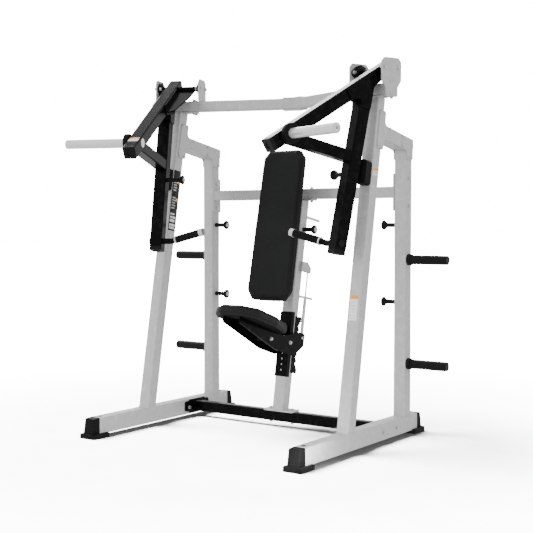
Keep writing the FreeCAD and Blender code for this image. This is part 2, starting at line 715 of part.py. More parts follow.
def weight_horn():
    radius, root = size("horn_radius"), size("horn_root")
    low, high = ARM_N - 2, size("horn_end")
    seat = ARM_N + ARM_WIDE + size("collar_deep")
    profile = [(0, low), (root, low), (root, seat), (radius, seat), (radius, high - 4),
               (radius - 4, high), (7, high), (7, high - 20), (0, high - 20)]
    return spun("Horn", profile, ARM_FRAME * facing(in_arm(HORN, 0), X_AXIS))


def horn_collar():
    start = ARM_N + ARM_WIDE
    deep, outer = size("collar_deep"), size("collar_radius")
    inner = size("horn_root") + size("sleeve_gap")
    profile = [(inner, start), (outer, start, 4), (outer, start + deep, 4), (inner, start + deep)]
    return spun("Collar", profile, ARM_FRAME * facing(in_arm(HORN, 0), X_AXIS))


HANDLE_START = ARM_N + ARM_WIDE + 2
HANDLE_BEND = HANDLE_START - 512.0
HANDLE_LEG = 230.0
TURN = math.radians(size("handle_turn"))
BEND_SIDE = Vector(0, -0.789, 0.615)                      # the way the handle turns, in the pivot frame
LEG_WAY = Vector(-math.cos(TURN), 0, 0) + BEND_SIDE * math.sin(TURN)
BEND_SPOT = Vector(HANDLE_START - HANDLE_BEND, HANDLE.x, HANDLE.y)


def handle_bar():
    """Round bar through the hanging tube, bent forward and up towards the user."""
    inward = Vector(-1, 0, 0)
    turn = Rotation(inward, BEND_SIDE, inward.cross(BEND_SIDE), "XYZ")
    body = new_body("Handle", ARM_FRAME * Placement(Vector(HANDLE_START, HANDLE.x, HANDLE.y), turn))
    path = new_sketch(body, "HandlePath")
    bend = 50.0
    reach = bend * math.tan(TURN / 2)
    corner = Vector(HANDLE_BEND, 0)
    way = Vector(math.cos(TURN), math.sin(TURN))
    first, last = corner - Vector(reach, 0), corner + way * reach
    centre = first + Vector(0, bend)
    middle = centre + Vector(math.sin(TURN / 2), -math.cos(TURN / 2)) * bend
    path.addGeometry(Part.LineSegment(Vector(), first))
    path.addGeometry(Part.Arc(first, middle, last))
    path.addGeometry(Part.LineSegment(last, corner + way * (HANDLE_LEG - 25)))
    section = new_sketch(body, "HandleSection", "YZ_Plane")
    section.addGeometry(Part.Circle(Vector(), Z_AXIS, size("handle_radius")))
    pipe = body.newObject("PartDesign::AdditivePipe", "HandlePipe")
    pipe.Profile = section
    pipe.Spine = (path, ["Edge1", "Edge2", "Edge3"])
    path.Visibility = section.Visibility = False
    return body


def leg_sleeve(name, low, high, outer, inner):
    """Ring or sleeve on the sloping leg of the handle."""
    profile = [(inner, low), (outer, low, 1.5), (outer, high, 1.5), (inner, high)]
    return spun(name, profile, ARM_FRAME * facing(BEND_SPOT, LEG_WAY))


def grip():
    inner = size("handle_radius") + size("sleeve_gap")
    return leg_sleeve("Grip", 44, HANDLE_LEG - 25, size("grip_radius"), inner)


def grip_ends():
    inner = size("handle_radius") + size("sleeve_gap")
    ring = leg_sleeve("GripRing", 34, 43.5, size("grip_end_radius"), inner)
    low, high, outer = HANDLE_LEG - 24.5, HANDLE_LEG, size("grip_end_radius")
    cap = spun("GripCap", [(0, low), (outer, low), (outer, high, 2), (outer - 4, high),
                           (outer - 5, high - 3), (0, high - 3)],
               ARM_FRAME * facing(BEND_SPOT, LEG_WAY))
    return group("GripEnds", [ring, cap])


def mushroom_peg(name, placement, long_):
    """Band peg: slim shaft with a cone-shaped head."""
    shaft, head = size("band_radius"), size("band_head")
    profile = [(0, 0), (shaft, 0), (shaft, long_ - 26, 8), (head, long_ - 9, 2), (head, long_, 4),
               (10, long_), (10, long_ - 2), (0, long_ - 2)]
    return spun(name, profile, placement)


def arm_fittings():
    """Caps on the tube ends, the plug of the handle and the band peg."""
    cap = size("cap_deep")
    half_wide = ARM_WIDE / 2
    square = [(-half_wide, -ARM_HALF, 8), (half_wide, -ARM_HALF, 8), (half_wide, ARM_HALF, 8),
              (-half_wide, ARM_HALF, 8)]
    front = plate("FrontCap", square, "Sizes.cap_deep",
                  arm_tube_frame(ABOVE * -size("arm_drop") + ALONG * size("arm_front"), ALONG))
    low = plate("LowCap", square, "Sizes.cap_deep",
                arm_tube_frame(HANG_TOP + DOWN * size("hang_long"), DOWN))
    dimple = cylinder("Dimple", 17, 4, arm_tube_frame(
        ABOVE * -size("arm_drop") + ALONG * (size("arm_front") + cap - 4), ALONG))
    recess = cylinder("Recess", 24, 6,
                      arm_tube_frame(HANG_TOP + DOWN * (size("hang_long") + cap - 6), DOWN))
    plug = cylinder("HandlePlug", 18, 4, ARM_FRAME * facing(in_arm(HANDLE, HANDLE_START), X_AXIS))
    peg = mushroom_peg("ArmPeg", ARM_FRAME * facing(in_arm(ARM_PEG, ARM_N), Vector(-1, 0, 0)), 96)
    return group("ArmFittings", [cut("FrontCapCut", front, dimple), cut("LowCapCut", low, recess),
                                 plug, peg])


# ---------------------------------------------------------------------------------------------
# Seat post
# ---------------------------------------------------------------------------------------------

POST_BOLT_X = 72.0
POST_BOLT_Y = 252.0
POST_HALF = TUBE / 2
STRIP = size("strip")
RACK_LOW, RACK_HIGH = 310.7, 632.6
CHANNEL_LOW, CHANNEL_HIGH = 287.4, 652.9


def seat_post():
    low = size("post_low") / COS_LEAN
    high = size("post_top") / COS_LEAN
    cuts = [(low, LEAN, True, X_AXIS), (high, LEAN, False, X_AXIS)]
    return tube("Post", "Sizes.tube", "Sizes.tube", low, high, POST_FRAME, cuts)


def post_plate(name, z, half_x, y, half_y, bolt_y):
    outline = [(-half_x, y - half_y, 16), (half_x, y - half_y, 16), (half_x, y + half_y, 16),
               (-half_x, y + half_y, 16)]
    holes = [(side * POST_BOLT_X, bolt_y, HOLE) for side in (1, -1)]
    return plate(name, outline, "Sizes.plate", Placement(Vector(0, 0, z), Rotation()), holes)


def post_end_plates():
    low = post_plate("PostFoot", size("post_low") - PLATE, 100, 252, 42, POST_BOLT_Y)
    high = post_plate("PostHead", size("post_top"), 95, REAR_Y, 32, REAR_Y)
    return group("PostEndPlates", [low, high])


def post_profile(name, points, height, low, x=0.0):
    """Strip whose section is drawn square to the post and which runs up it."""
    return plate(name, points, height, POST_FRAME * Placement(Vector(x, 0, low), Rotation()))


def seat_channel():
    """U channel over the front of the post, with a row of holes."""
    out, deep, face = POST_HALF + STRIP, 28.0, -POST_HALF
    points = [(-out, face - STRIP, 3), (out, face - STRIP, 3), (out, face + deep),
              (POST_HALF, face + deep), (POST_HALF, face), (-POST_HALF, face),
              (-POST_HALF, face + deep), (-out, face + deep)]
    channel = post_profile("Channel", points, CHANNEL_HIGH - CHANNEL_LOW, CHANNEL_LOW)
    ahead = Vector(0, -1, 0)
    holes = [(POST_FRAME * facing(Vector(0, face + 1, 323.4 + 32 * k), ahead), 6, 8)
             for k in range(9)]
    return drilled("ChannelDrilled", channel, holes)


def seat_rack():
    """Two toothed strips on the sides of the post, beside its rear face."""
    front, root, tip, ear = 7.0, 43.0, 53.5, 63.0
    first, pitch = 350.0, size("notch_pitch")
    points = [(front, RACK_LOW, 4), (ear, RACK_LOW, 4), (ear, first - 12, 3), (tip, first - 6, 2)]
    for k in range(7):
        low = first + pitch * k
        points += [(tip, low + 3, 1.5), (root, low + 9, 2), (root, low + 23, 2), (tip, low + 27, 1.5)]
    points += [(tip, RACK_HIGH - 34, 2), (ear, RACK_HIGH - 28, 3), (ear, RACK_HIGH, 4),
               (front, RACK_HIGH, 4)]
    strips = [plate("RackStrip", points, "Sizes.strip", POST_FRAME * side_frame(x))
              for x in (POST_HALF, -POST_HALF - STRIP)]
    return group("Rack", strips)


STRUT_BACK = size("strut_back")
STRUT_X = size("strut_x")
STRUT_PIN = 902.0
CYLINDER_LOW, CYLINDER_HIGH = 535.0, 746.0


def strut_bracket():
    """Bent plate on the side of the post that holds the top of the gas strut."""
    web = plate("BracketWeb", [(-3, 888, 6), (-3, 946, 6), (55, 948, 14), (96, 918, 14), (92, 886, 10)],
                5, POST_FRAME * side_frame(48), [(STRUT_BACK, STRUT_PIN, 4.3)])
    flange = block("BracketFlange", 13, 5, 50, POST_FRAME * Placement(Vector(35, -3, 892), Rotation()))
    return fuse("Bracket", [web, flange])


def strut_rod():
    """Piston rod with an eye at its top, pinned to the bracket."""
    low = 620.0
    rod = cylinder("Rod", "Sizes.rod_radius", STRUT_PIN - low - 6,
                   POST_FRAME * Placement(Vector(STRUT_X, STRUT_BACK, low), Rotation()))
    spot = Vector(STRUT_X - 7, STRUT_BACK, STRUT_PIN)
    eye = cylinder("RodEye", 9, 14, POST_FRAME * facing(spot, X_AXIS))
    pin = cylinder("RodPin", 4, 24, POST_FRAME * facing(spot, X_AXIS))
    return fuse("StrutRod", [rod, eye, pin])


def post_rear_peg(station):
    long_, radius = size("post_peg_long"), size("post_peg")
    profile = [(0, 0), (14, 0), (14, 3), (radius, 3), (radius, long_ - 2), (radius - 2, long_), (0, long_)]
    place = POST_FRAME * facing(Vector(0, POST_HALF, station), Y_AXIS)
    return spun("PostPeg", profile, place)


# ---------------------------------------------------------------------------------------------
# Seat carriage
# ---------------------------------------------------------------------------------------------

ROLLER = Vector(0, -POST_HALF - STRIP - 18.5, 478.3)
LOCK_PIN = Vector(0, POST_HALF + 26.5, 514.5)
STRUT_FOOT = Vector(0, STRUT_BACK, CYLINDER_LOW - 12)
CHEEK = size("cheek_x")
CHEEK_OUT = CHEEK + size("thin_plate")
PAD_FRONT = Vector(0, -218, 726)                            # front end of the seat's top surface
TILT = math.radians(size("seat_tilt"))
PAD_WAY = Vector(0, math.cos(TILT), -math.sin(TILT))
PAD_UP = Vector(0, math.sin(TILT), math.cos(TILT))
SPACER_SPOT = (64.0, 519.0)


def pad_under(y):
    """Height of the seat pad's underside at a distance y."""
    corner = PAD_FRONT - PAD_UP * (size("seat_thick") + 0.3)
    return corner.z - math.tan(TILT) * (y - corner.y)


def seat_cheek(x):
    """Side plate of the carriage."""
    roller, lock, foot = (POST_FRAME.multVec(spot) for spot in (ROLLER, LOCK_PIN, STRUT_FOOT))
    outline = [(-214, pad_under(-214), 4), (190, pad_under(190), 10), (206, 524, 8), (344, 531, 14),
               (408, 514, 14), (388, 446, 12), (312, 412, 16), (260, 407, 16), (110, 455, 20),
               (-218, 628, 8)]
    holes = [(roller.y, roller.z, HOLE), (lock.y, lock.z, size("pin_radius")),
             (foot.y, foot.z, 5), (SPACER_SPOT[0], SPACER_SPOT[1], HOLE)]
    return plate("Cheek", outline, "Sizes.thin_plate", side_frame(x), holes)


def seat_cross_members():
    """Spacer tube and two flat bars that hold the cheeks apart and carry the pad."""
    spacer = spun("Spacer", [(HOLE, -CHEEK), (14, -CHEEK), (14, CHEEK), (HOLE, CHEEK)],
                  facing(Vector(0, SPACER_SPOT[0], SPACER_SPOT[1]), X_AXIS))
    bars = []
    for y in (-150.0, 110.0):
        place = Placement(Vector(-CHEEK, y, pad_under(y)), Rotation(X_AXIS, -size("seat_tilt")))
        bars.append(block("PadBar", 2 * CHEEK, 50, 6, place * Placement(Vector(0, 0, -6), Rotation())))
    return group("CrossMembers", [spacer] + bars)


def seat_rollers():
    """Front roller, lock pin through the rack side and the pin at the foot of the strut."""
    wide = CHEEK - 1
    roller = spun("Roller", [(HOLE, -wide), (size("roller_radius"), -wide, 2),
                             (size("roller_radius"), wide, 2), (HOLE, wide)],
                  POST_FRAME * facing(ROLLER, X_AXIS))
    lock = cylinder("LockPin", "Sizes.pin_radius", 2 * CHEEK_OUT + 6,
                    POST_FRAME * facing(LOCK_PIN - Vector(CHEEK_OUT + 3, 0, 0), X_AXIS))
    foot = cylinder("StrutPin", 5, 2 * CHEEK_OUT + 4,
                    POST_FRAME * facing(STRUT_FOOT - Vector(CHEEK_OUT + 2, 0, 0), X_AXIS))
    return group("Rollers", [roller, lock, foot])


def strut_cylinder():
    """Gas strut body, bored for the rod, on an eye round the strut pin."""
    outer, bore = size("cylinder_radius"), size("rod_radius") + size("running_gap")
    at = Placement(Vector(STRUT_X, STRUT_BACK, 0), Rotation())
    barrel = spun("Barrel", [(0, CYLINDER_LOW), (outer, CYLINDER_LOW, 2), (outer, CYLINDER_HIGH, 3),
                             (bore, CYLINDER_HIGH), (bore, CYLINDER_LOW + 10), (0, CYLINDER_LOW + 10)],
                  POST_FRAME * at)
    eye = spun("FootEye", [(5, -7), (12, -7), (12, 7), (5, 7)],
               POST_FRAME * facing(STRUT_FOOT + Vector(STRUT_X, 0, 0), X_AXIS))
    return fuse("StrutCylinder", [cut("BarrelEnd", barrel, cylinder(
        "EyeRoom", 5, 20, POST_FRAME * facing(STRUT_FOOT + Vector(STRUT_X - 10, 0, 0), X_AXIS))), eye])


def seat_pad():
    """Tapered cushion; its top slopes down to the rear."""
    long_, half, thick = size("seat_long"), size("seat_half"), size("seat_thick")
    nose, shoulder, waist, tail = 67.0, 65.0, 255.0, 92.0
    outline = [(-nose, 0, 20), (nose, 0, 20), (half, shoulder, 40), (half, waist, 60), (tail, long_, 30),
               (-tail, long_, 30), (-half, waist, 60), (-half, shoulder, 40)]
    place = Placement(PAD_FRONT - PAD_UP * thick, Rotation(X_AXIS, -size("seat_tilt")))
    return plate("SeatPad", outline, "Sizes.seat_thick", place)


# ---------------------------------------------------------------------------------------------
# Back pad
# ---------------------------------------------------------------------------------------------

BACK_LEAN = size("back_lean")
BACK_LONG = (size("back_high") - size("back_low")) / math.cos(math.radians(BACK_LEAN))
BACK_FOOT = Vector(0, size("back_top_y") - BACK_LONG * math.sin(math.radians(BACK_LEAN)), size("back_low"))
BACK_FRAME = Placement(BACK_FOOT, Rotation(X_AXIS, -BACK_LEAN))
BRACKET_STATIONS = (150.0, 500.0)


def back_pad():
    """Upright cushion with chamfered corners, a little wider at its foot."""
    foot, top = size("back_half_low"), size("back_half")
    corner, low_rise, high_drop = 38, 55, 45
    right = [(foot - corner, 0, 6), (foot, low_rise, 8), (top, BACK_LONG - high_drop, 8),
             (top - corner, BACK_LONG, 6)]
    outline = right + [(-x, z, radius) for x, z, radius in reversed(right)]
    stand = BACK_FRAME * Placement(Vector(), Rotation(X_AXIS, 90))
    return plate("BackPad", outline, "Sizes.back_thick", stand, midplane=True)


def back_pad_brackets():
    """Two stand-offs: a square tube from the post with a plate behind the pad."""
    pieces = []
    gap, sheet_deep = 0.3, 5.0
    face = size("back_thick") / 2 + gap
    for station in BRACKET_STATIONS:
        outline = [(-65, station - 45, 10), (65, station - 45, 10), (65, station + 45, 10),
                   (-65, station + 45, 10)]
        back = plate("PadPlate", outline, sheet_deep, BACK_FRAME * Placement(
            Vector(0, face + sheet_deep, 0), Rotation(X_AXIS, 90)))
        start = BACK_FRAME.multVec(Vector(0, face + sheet_deep, station))
        reach = (size("post_line") + LEAN_SLOPE * start.z - TUBE / 2 / COS_LEAN - start.y) * COS_LEAN
        place = Placement(start, Rotation(X_AXIS, -90 - LEAN))
        tilt = BACK_LEAN - LEAN
        cuts = [(0, -tilt, True, X_AXIS), (reach, 0, False, X_AXIS)]
        arm = tube("StandOff", "Sizes.beam_deep", "Sizes.beam_deep", 0, reach, place, cuts)
        pieces.append(fuse("PadBracket", [back, arm]))
    return group("PadBrackets", pieces)


# ---------------------------------------------------------------------------------------------
# Pegs, bumpers and bolts
# ---------------------------------------------------------------------------------------------

STORE_HEIGHTS = (952.0, 390.0)
BAND_HEIGHTS = (1138.0, 721.0)


def storage_peg(z):
    root, radius = size("store_root"), size("store_radius")
    long_ = size("store_tip") - RAIL_OUT
    profile = [(0, 0), (root, 0), (root, 20, 3), (radius, 20), (radius, long_, 4), (0, long_)]
    return spun("StoragePeg", profile, facing(Vector(RAIL_OUT, REAR_Y, z), X_AXIS))


def band_pegs():
    rights = [mushroom_peg("BandPeg", facing(Vector(RAIL_IN, REAR_Y, z), Vector(-1, 0, 0)),
                           size("band_long")) for z in BAND_HEIGHTS]
    lefts = [mirrored(peg, "BandPegTwin") for peg in rights]
    height = 1112.0
    centre = Vector(POST_HALF, size("post_line") + LEAN_SLOPE * height, height)
    post_one = mushroom_peg("PostBandPeg", facing(centre, X_AXIS), 80)
    return group("BandPegs", rights + lefts + [post_one])


def bumper():
    """Rubber block on the front face of the upright, where the hanging arm rests."""
    half, tall, low = size("bumper_wide") / 2, size("bumper_tall"), size("bumper_low")
    outline = [(-half, 0, 16), (half, 0, 16), (half, tall, 16), (-half, tall, 16)]
    spot = Vector(RAIL_X, FRONT_LINE + LEAN_SLOPE * low, low)
    face = Placement(Vector(0, -TUBE / 2, 0), Rotation(X_AXIS, 90))
    frame = Placement(spot, Rotation(X_AXIS, -LEAN)) * face
    return plate("Bumper", outline, "Sizes.bumper_deep", frame)


def frame_bolts():
    """All bolts of the frame as one group of separate solids."""
    right = []
    for y in BASE_BOLTS_Y:
        right.append(bolt(Vector(RAIL_OUT, y, 60), Vector(-1, 0, 0), TUBE + PLATE))
    for z in BAR_BOLTS_Z:
        right.append(bolt(Vector(RAIL_OUT, REAR_Y, z), Vector(-1, 0, 0), TUBE + PLATE))
    beam_top = BEAM_LOW_DZ + 2 * BEAM_HALF
    for n, e in TOP_BOLTS:
        head = ARM_FRAME.multVec(Vector(n, e, beam_top))
        right.append(bolt(head, Vector(0, 0, -1), 2 * BEAM_HALF + PLATE))
    grip_deep = PLATE + 12
    for way in (1, -1):
        outer = ARM_FRAME.multVec(Vector(OUTER_N + PLATE, way * BEARING_BOLT_E, 0))
        inner = ARM_FRAME.multVec(Vector(INNER_N, way * BEARING_BOLT_E, 0))
        outward = ARM_FRAME.Rotation.multVec(X_AXIS)
        right.append(bolt(outer, outward * -1, grip_deep))
        right.append(bolt(inner, outward, grip_deep))
    right.append(bolt(Vector(POST_BOLT_X, POST_BOLT_Y, size("post_low")), Vector(0, 0, -1),
                      size("beam_tall") + PLATE))
    right.append(bolt(Vector(POST_BOLT_X, REAR_Y, size("bar_z") + BEAM_HALF), Vector(0, 0, -1),
                      size("crossbar") + PLATE))
    bolts = doc.addObject("Part::Feature", "FrameBolts")
    bolts.Shape = Part.makeCompound(right + [mirror_shape(shape) for shape in right])
    return bolts


def seat_bolts():
    """Bolts through the carriage's cheeks: the roller's axle and the spacer's."""
    roller = POST_FRAME.multVec(ROLLER)
    spots = [Vector(CHEEK_OUT, roller.y, roller.z), Vector(CHEEK_OUT, SPACER_SPOT[0], SPACER_SPOT[1])]
    bolts = doc.addObject("Part::Feature", "SeatBolts")
    bolts.Shape = Part.makeCompound([bolt(spot, Vector(-1, 0, 0), 2 * CHEEK_OUT) for spot in spots])
    return bolts


# ---------------------------------------------------------------------------------------------
# Assembly
# ---------------------------------------------------------------------------------------------

def build_frame():
    rail = drilled("RailDrilled", base_rail(), across_holes([(y, 60) for y in BASE_BOLTS_Y]))
    both_sides("base_rail", rail)
    pair("foot_caps", [foot_cap(False), foot_cap(True)])
    finish(base_beam(), "base_cross_beam")
    both_sides("front_upright", front_upright())
    both_sides("rear_upright", rear_upright())
    both_sides("link_tube", link_tube())
    thin = size("thin_plate")
    pair("gusset_plates", [maker(x) for maker in (gusset_plate, corner_plate)
                           for x in (RAIL_OUT, RAIL_IN - thin)])
    pair("link_end_caps", [link_end_cap()])
    finish(mid_crossbar(), "mid_crossbar")
    pair("base_end_plates", [base_end_plate()])
    pair("crossbar_end_plates", [crossbar_end_plate()])
    both_sides("top_beam", top_beam())
    beam_top = size("top_beam_low") + size("top_beam")
    apex = [apex_plate(beam_top), apex_plate(size("top_beam_low") - thin)]
    top = upright_top_plate()
    finish(group("BeamPlates", apex + [top, mirrored(top, "TopPlateTwin")]), "beam_plates")
    pair("pivot_plates", [pivot_plate(OUTER_N, False), pivot_plate(INNER_N, True)])
    pair("pivot_bearings", [flange_bearing(INNER_N + PLATE, True), flange_bearing(OUTER_N, False)])
    finish(seat_post(), "seat_post")
    finish(post_end_plates(), "post_end_plates")
    finish(seat_channel(), "seat_channel")
    finish(seat_rack(), "seat_rack")
    finish(strut_bracket(), "strut_bracket")
    finish(strut_rod(), "strut_rod")
    pair("storage_pegs", [storage_peg(z) for z in STORE_HEIGHTS])
    finish(band_pegs(), "band_pegs")
    finish(group("PostPegs", [post_rear_peg(1214.5), post_rear_peg(752.5)]), "post_rear_pegs")
    pair("arm_bumpers", [bumper()])
    finish(back_pad(), "back_pad")
    finish(back_pad_brackets(), "back_pad_brackets")
    finish(frame_bolts(), "frame_bolts")


def build_arms():
    both_sides("arm_upper_tube", upper_tube())
    both_sides("arm_hanging_tube", hanging_tube())
    both_sides("arm_brace", brace_tube())
    plates = [side_plate(ARM_N + ARM_WIDE), side_plate(ARM_N - size("thin_plate")), shaft_web()]
    both_sides("arm_side_plates", group("ArmPlates", plates))
    both_sides("arm_shaft", arm_shaft())
    both_sides("weight_horn", weight_horn())
    both_sides("horn_collar", horn_collar())
    both_sides("arm_fittings", arm_fittings())
    both_sides("handle_bar", handle_bar())
    both_sides("handle_grip", grip())
    both_sides("handle_grip_ends", grip_ends())


def build_seat():
    cheeks = [seat_cheek(CHEEK), seat_cheek(-CHEEK_OUT)]
    finish(group("Carriage", cheeks + [seat_cross_members()]), "seat_carriage_frame")
    finish(seat_rollers(), "seat_rollers_and_pins")
    finish(strut_cylinder(), "strut_cylinder")
    finish(seat_pad(), "seat_pad")
    finish(seat_bolts(), "seat_bolts")


def check_and_export():
    """Stop on any failed object or shape, then write one file for each sub-part."""
    doc.recompute()
    failed = [item.Name for item in doc.Objects
              if "Invalid" in item.State or "Error" in item.State]
    if failed:
        raise RuntimeError("failed objects: " + ", ".join(failed))
    for label, item in nodes.items():
        if item.Shape.isNull() or not item.Shape.isValid():
            raise RuntimeError("bad shape: " + label)
    os.makedirs("parts", exist_ok=True)
    for label, item in nodes.items():
        item.Shape.exportStep(f"parts/{label}.step")
    print(len(nodes), "sub-parts written")


build_frame()
build_arms()
build_seat()
check_and_export()
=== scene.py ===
import json
import math

import bmesh
import bpy
from mathutils import Matrix, Vector
from mathutils.bvhtree import BVHTree


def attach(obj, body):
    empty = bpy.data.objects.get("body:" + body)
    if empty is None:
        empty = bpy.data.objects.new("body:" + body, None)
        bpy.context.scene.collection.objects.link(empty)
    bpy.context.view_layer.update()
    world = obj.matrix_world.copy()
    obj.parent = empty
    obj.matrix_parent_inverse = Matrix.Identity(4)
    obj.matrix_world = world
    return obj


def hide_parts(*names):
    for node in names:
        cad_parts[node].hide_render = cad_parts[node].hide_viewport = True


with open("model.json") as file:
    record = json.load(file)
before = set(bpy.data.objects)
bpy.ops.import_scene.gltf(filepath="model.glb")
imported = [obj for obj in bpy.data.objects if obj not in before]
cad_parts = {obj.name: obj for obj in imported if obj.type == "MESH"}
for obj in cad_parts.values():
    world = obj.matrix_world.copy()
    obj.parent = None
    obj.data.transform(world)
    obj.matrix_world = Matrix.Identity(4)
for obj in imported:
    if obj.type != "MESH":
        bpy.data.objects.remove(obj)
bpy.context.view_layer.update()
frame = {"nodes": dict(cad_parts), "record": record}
NODES = frame["nodes"]
SCENE = bpy.context.scene

# ---------------------------------------------------------------------------------------------
# Camera
# ---------------------------------------------------------------------------------------------

CAMERA_PLACE = (3.3054, -4.5760, 1.1407)
CAMERA_PITCH = -2.302
CAMERA_YAW = 35.226
CAMERA_LENS = 70.53
SENSOR = 36.0

camera_data = bpy.data.cameras.new("Camera")
camera_data.lens = CAMERA_LENS
camera_data.sensor_width = SENSOR
camera = bpy.data.objects.new("Camera", camera_data)
camera.location = CAMERA_PLACE
camera.rotation_euler = (math.radians(90 + CAMERA_PITCH), 0, math.radians(CAMERA_YAW))
SCENE.collection.objects.link(camera)
SCENE.camera = camera

# ---------------------------------------------------------------------------------------------
# Materials
# ---------------------------------------------------------------------------------------------


def grey(value):
    return (value, value * 1.005, value * 1.01)


def new_material(name, **sockets):
    """A material with its shader's constant values set on the shader's own sockets."""
    material = bpy.data.materials.new(name)
    material.use_nodes = True
    shader = material.node_tree.nodes["Principled BSDF"]
    for socket, value in sockets.items():
        shader.inputs[socket.replace("_", " ")].default_value = value
    return material


def add_node(material, kind, **values):
    node = material.node_tree.nodes.new(kind)
    for name, value in values.items():
        if hasattr(node, name):
            setattr(node, name, value)
        else:
            node.inputs[name.replace("_", " ")].default_value = value
    return node


def link(material, source, socket, target, target_socket):
    material.node_tree.links.new(source.outputs[socket], target.inputs[target_socket])


def noise(material, scale, detail=4.0, roughness=0.55):
    """Noise in object space."""
    place = add_node(material, "ShaderNodeTexCoord")
    texture = add_node(material, "ShaderNodeTexNoise",
                       Scale=scale, Detail=detail, Roughness=roughness)
    link(material, place, "Object", texture, "Vector")
    return texture


def ramp(material, source, socket, low, high, start=0.3, stop=0.7):
    """Colour ramp between two greys or colours."""
    node = add_node(material, "ShaderNodeValToRGB")
    for element, place, colour in zip(node.color_ramp.elements, (start, stop), (low, high)):
        element.position = place
        element.color = (*colour, 1)
    link(material, source, socket, node, "Fac")
    return node


def worn_edges(material, base, colour):
    """Mix a paler colour in, in patches, where the surface is sharply convex."""
    geometry = add_node(material, "ShaderNodeNewGeometry")
    worn = ramp(material, geometry, "Pointiness", (0, 0, 0), (1, 1, 1), 0.51, 0.58)
    spots = ramp(material, noise(material, 35, 6), "Fac", (0, 0, 0), (1, 1, 1), 0.5, 0.62)
    both = add_node(material, "ShaderNodeMath", operation="MULTIPLY")
    link(material, worn, "Color", both, 0)
    link(material, spots, "Color", both, 1)
    mix = add_node(material, "ShaderNodeMix", data_type="RGBA")
    link(material, both, "Value", mix, 0)
    link(material, base, "Color", mix, 6)
    mix.inputs[7].default_value = (*colour, 1)
    return mix.outputs[2]


def shade(material, texture, colours, rough, bumps, edge=None):
    """Colour and roughness from one noise, relief from others, and paler rounded edges."""
    shader = material.node_tree.nodes["Principled BSDF"]
    base = ramp(material, texture, "Fac", *colours)
    colour = worn_edges(material, base, edge) if edge else base.outputs["Color"]
    material.node_tree.links.new(colour, shader.inputs["Base Color"])
    spread = add_node(material, "ShaderNodeMapRange")
    spread.inputs["To Min"].default_value, spread.inputs["To Max"].default_value = rough
    link(material, texture, "Fac", spread, "Value")
    link(material, spread, "Result", shader, "Roughness")
    last = None
    for source, socket, strength, distance in bumps:
        bump = add_node(material, "ShaderNodeBump", Strength=strength, Distance=distance)
        link(material, source, socket, bump, "Height")
        if last:
            link(material, last, "Normal", bump, "Normal")
        last = bump
    if last:
        link(material, last, "Normal", shader, "Normal")
    return material


def powder_coat(name, low, high, rough, edge=None, relief=1.0, **sockets):
    """Powder coat: fine orange peel over faint slow mottling."""
    material = new_material(name, **sockets)
    peel, pits = noise(material, 900, 2), noise(material, 260, 3)
    bumps = [(peel, "Fac", 0.025 * relief, 0.0002), (pits, "Fac", 0.015 * relief, 0.0003)]
    return shade(material, noise(material, 6, 5), (low, high), rough, bumps, edge)


def metal(name, low, high, rough, scale=60, metallic=1.0):
    """Bare or plated metal with a fine grain."""
    material = new_material(name, Metallic=metallic)
    grain = noise(material, scale, 6, 0.6)
    return shade(material, grain, (low, high), rough, [(grain, "Fac", 0.02, 0.0002)])


def moulded(name, low, high, rough, relief=0.25, level=0.3):
    """Rubber, plastic or print with a fine moulded grain."""
    material = new_material(name, Specular_IOR_Level=level)
    bumps = [(noise(material, 700, 3), "Fac", relief, 0.0006)]
    return shade(material, noise(material, 12, 4), (low, high), rough, bumps)


def vinyl(name, low, high):
    """Upholstery vinyl: fine leather-like cells over soft folds, with a dull sheen."""
    material = new_material(name, Specular_IOR_Level=0.08, Sheen_Weight=0.01, Sheen_Roughness=0.5)
    place = add_node(material, "ShaderNodeTexCoord")
    cells = add_node(material, "ShaderNodeTexVoronoi", Scale=420.0, feature="DISTANCE_TO_EDGE")
    link(material, place, "Object", cells, "Vector")
    lines = ramp(material, cells, "Distance", (0, 0, 0), (1, 1, 1), 0.0, 0.25)
    bumps = [(noise(material, 38, 5, 0.6), "Fac", 0.08, 0.002), (lines, "Color", 0.30, 0.0005)]
    return shade(material, noise(material, 5, 4), (grey(low), grey(high)), (0.42, 0.54), bumps)


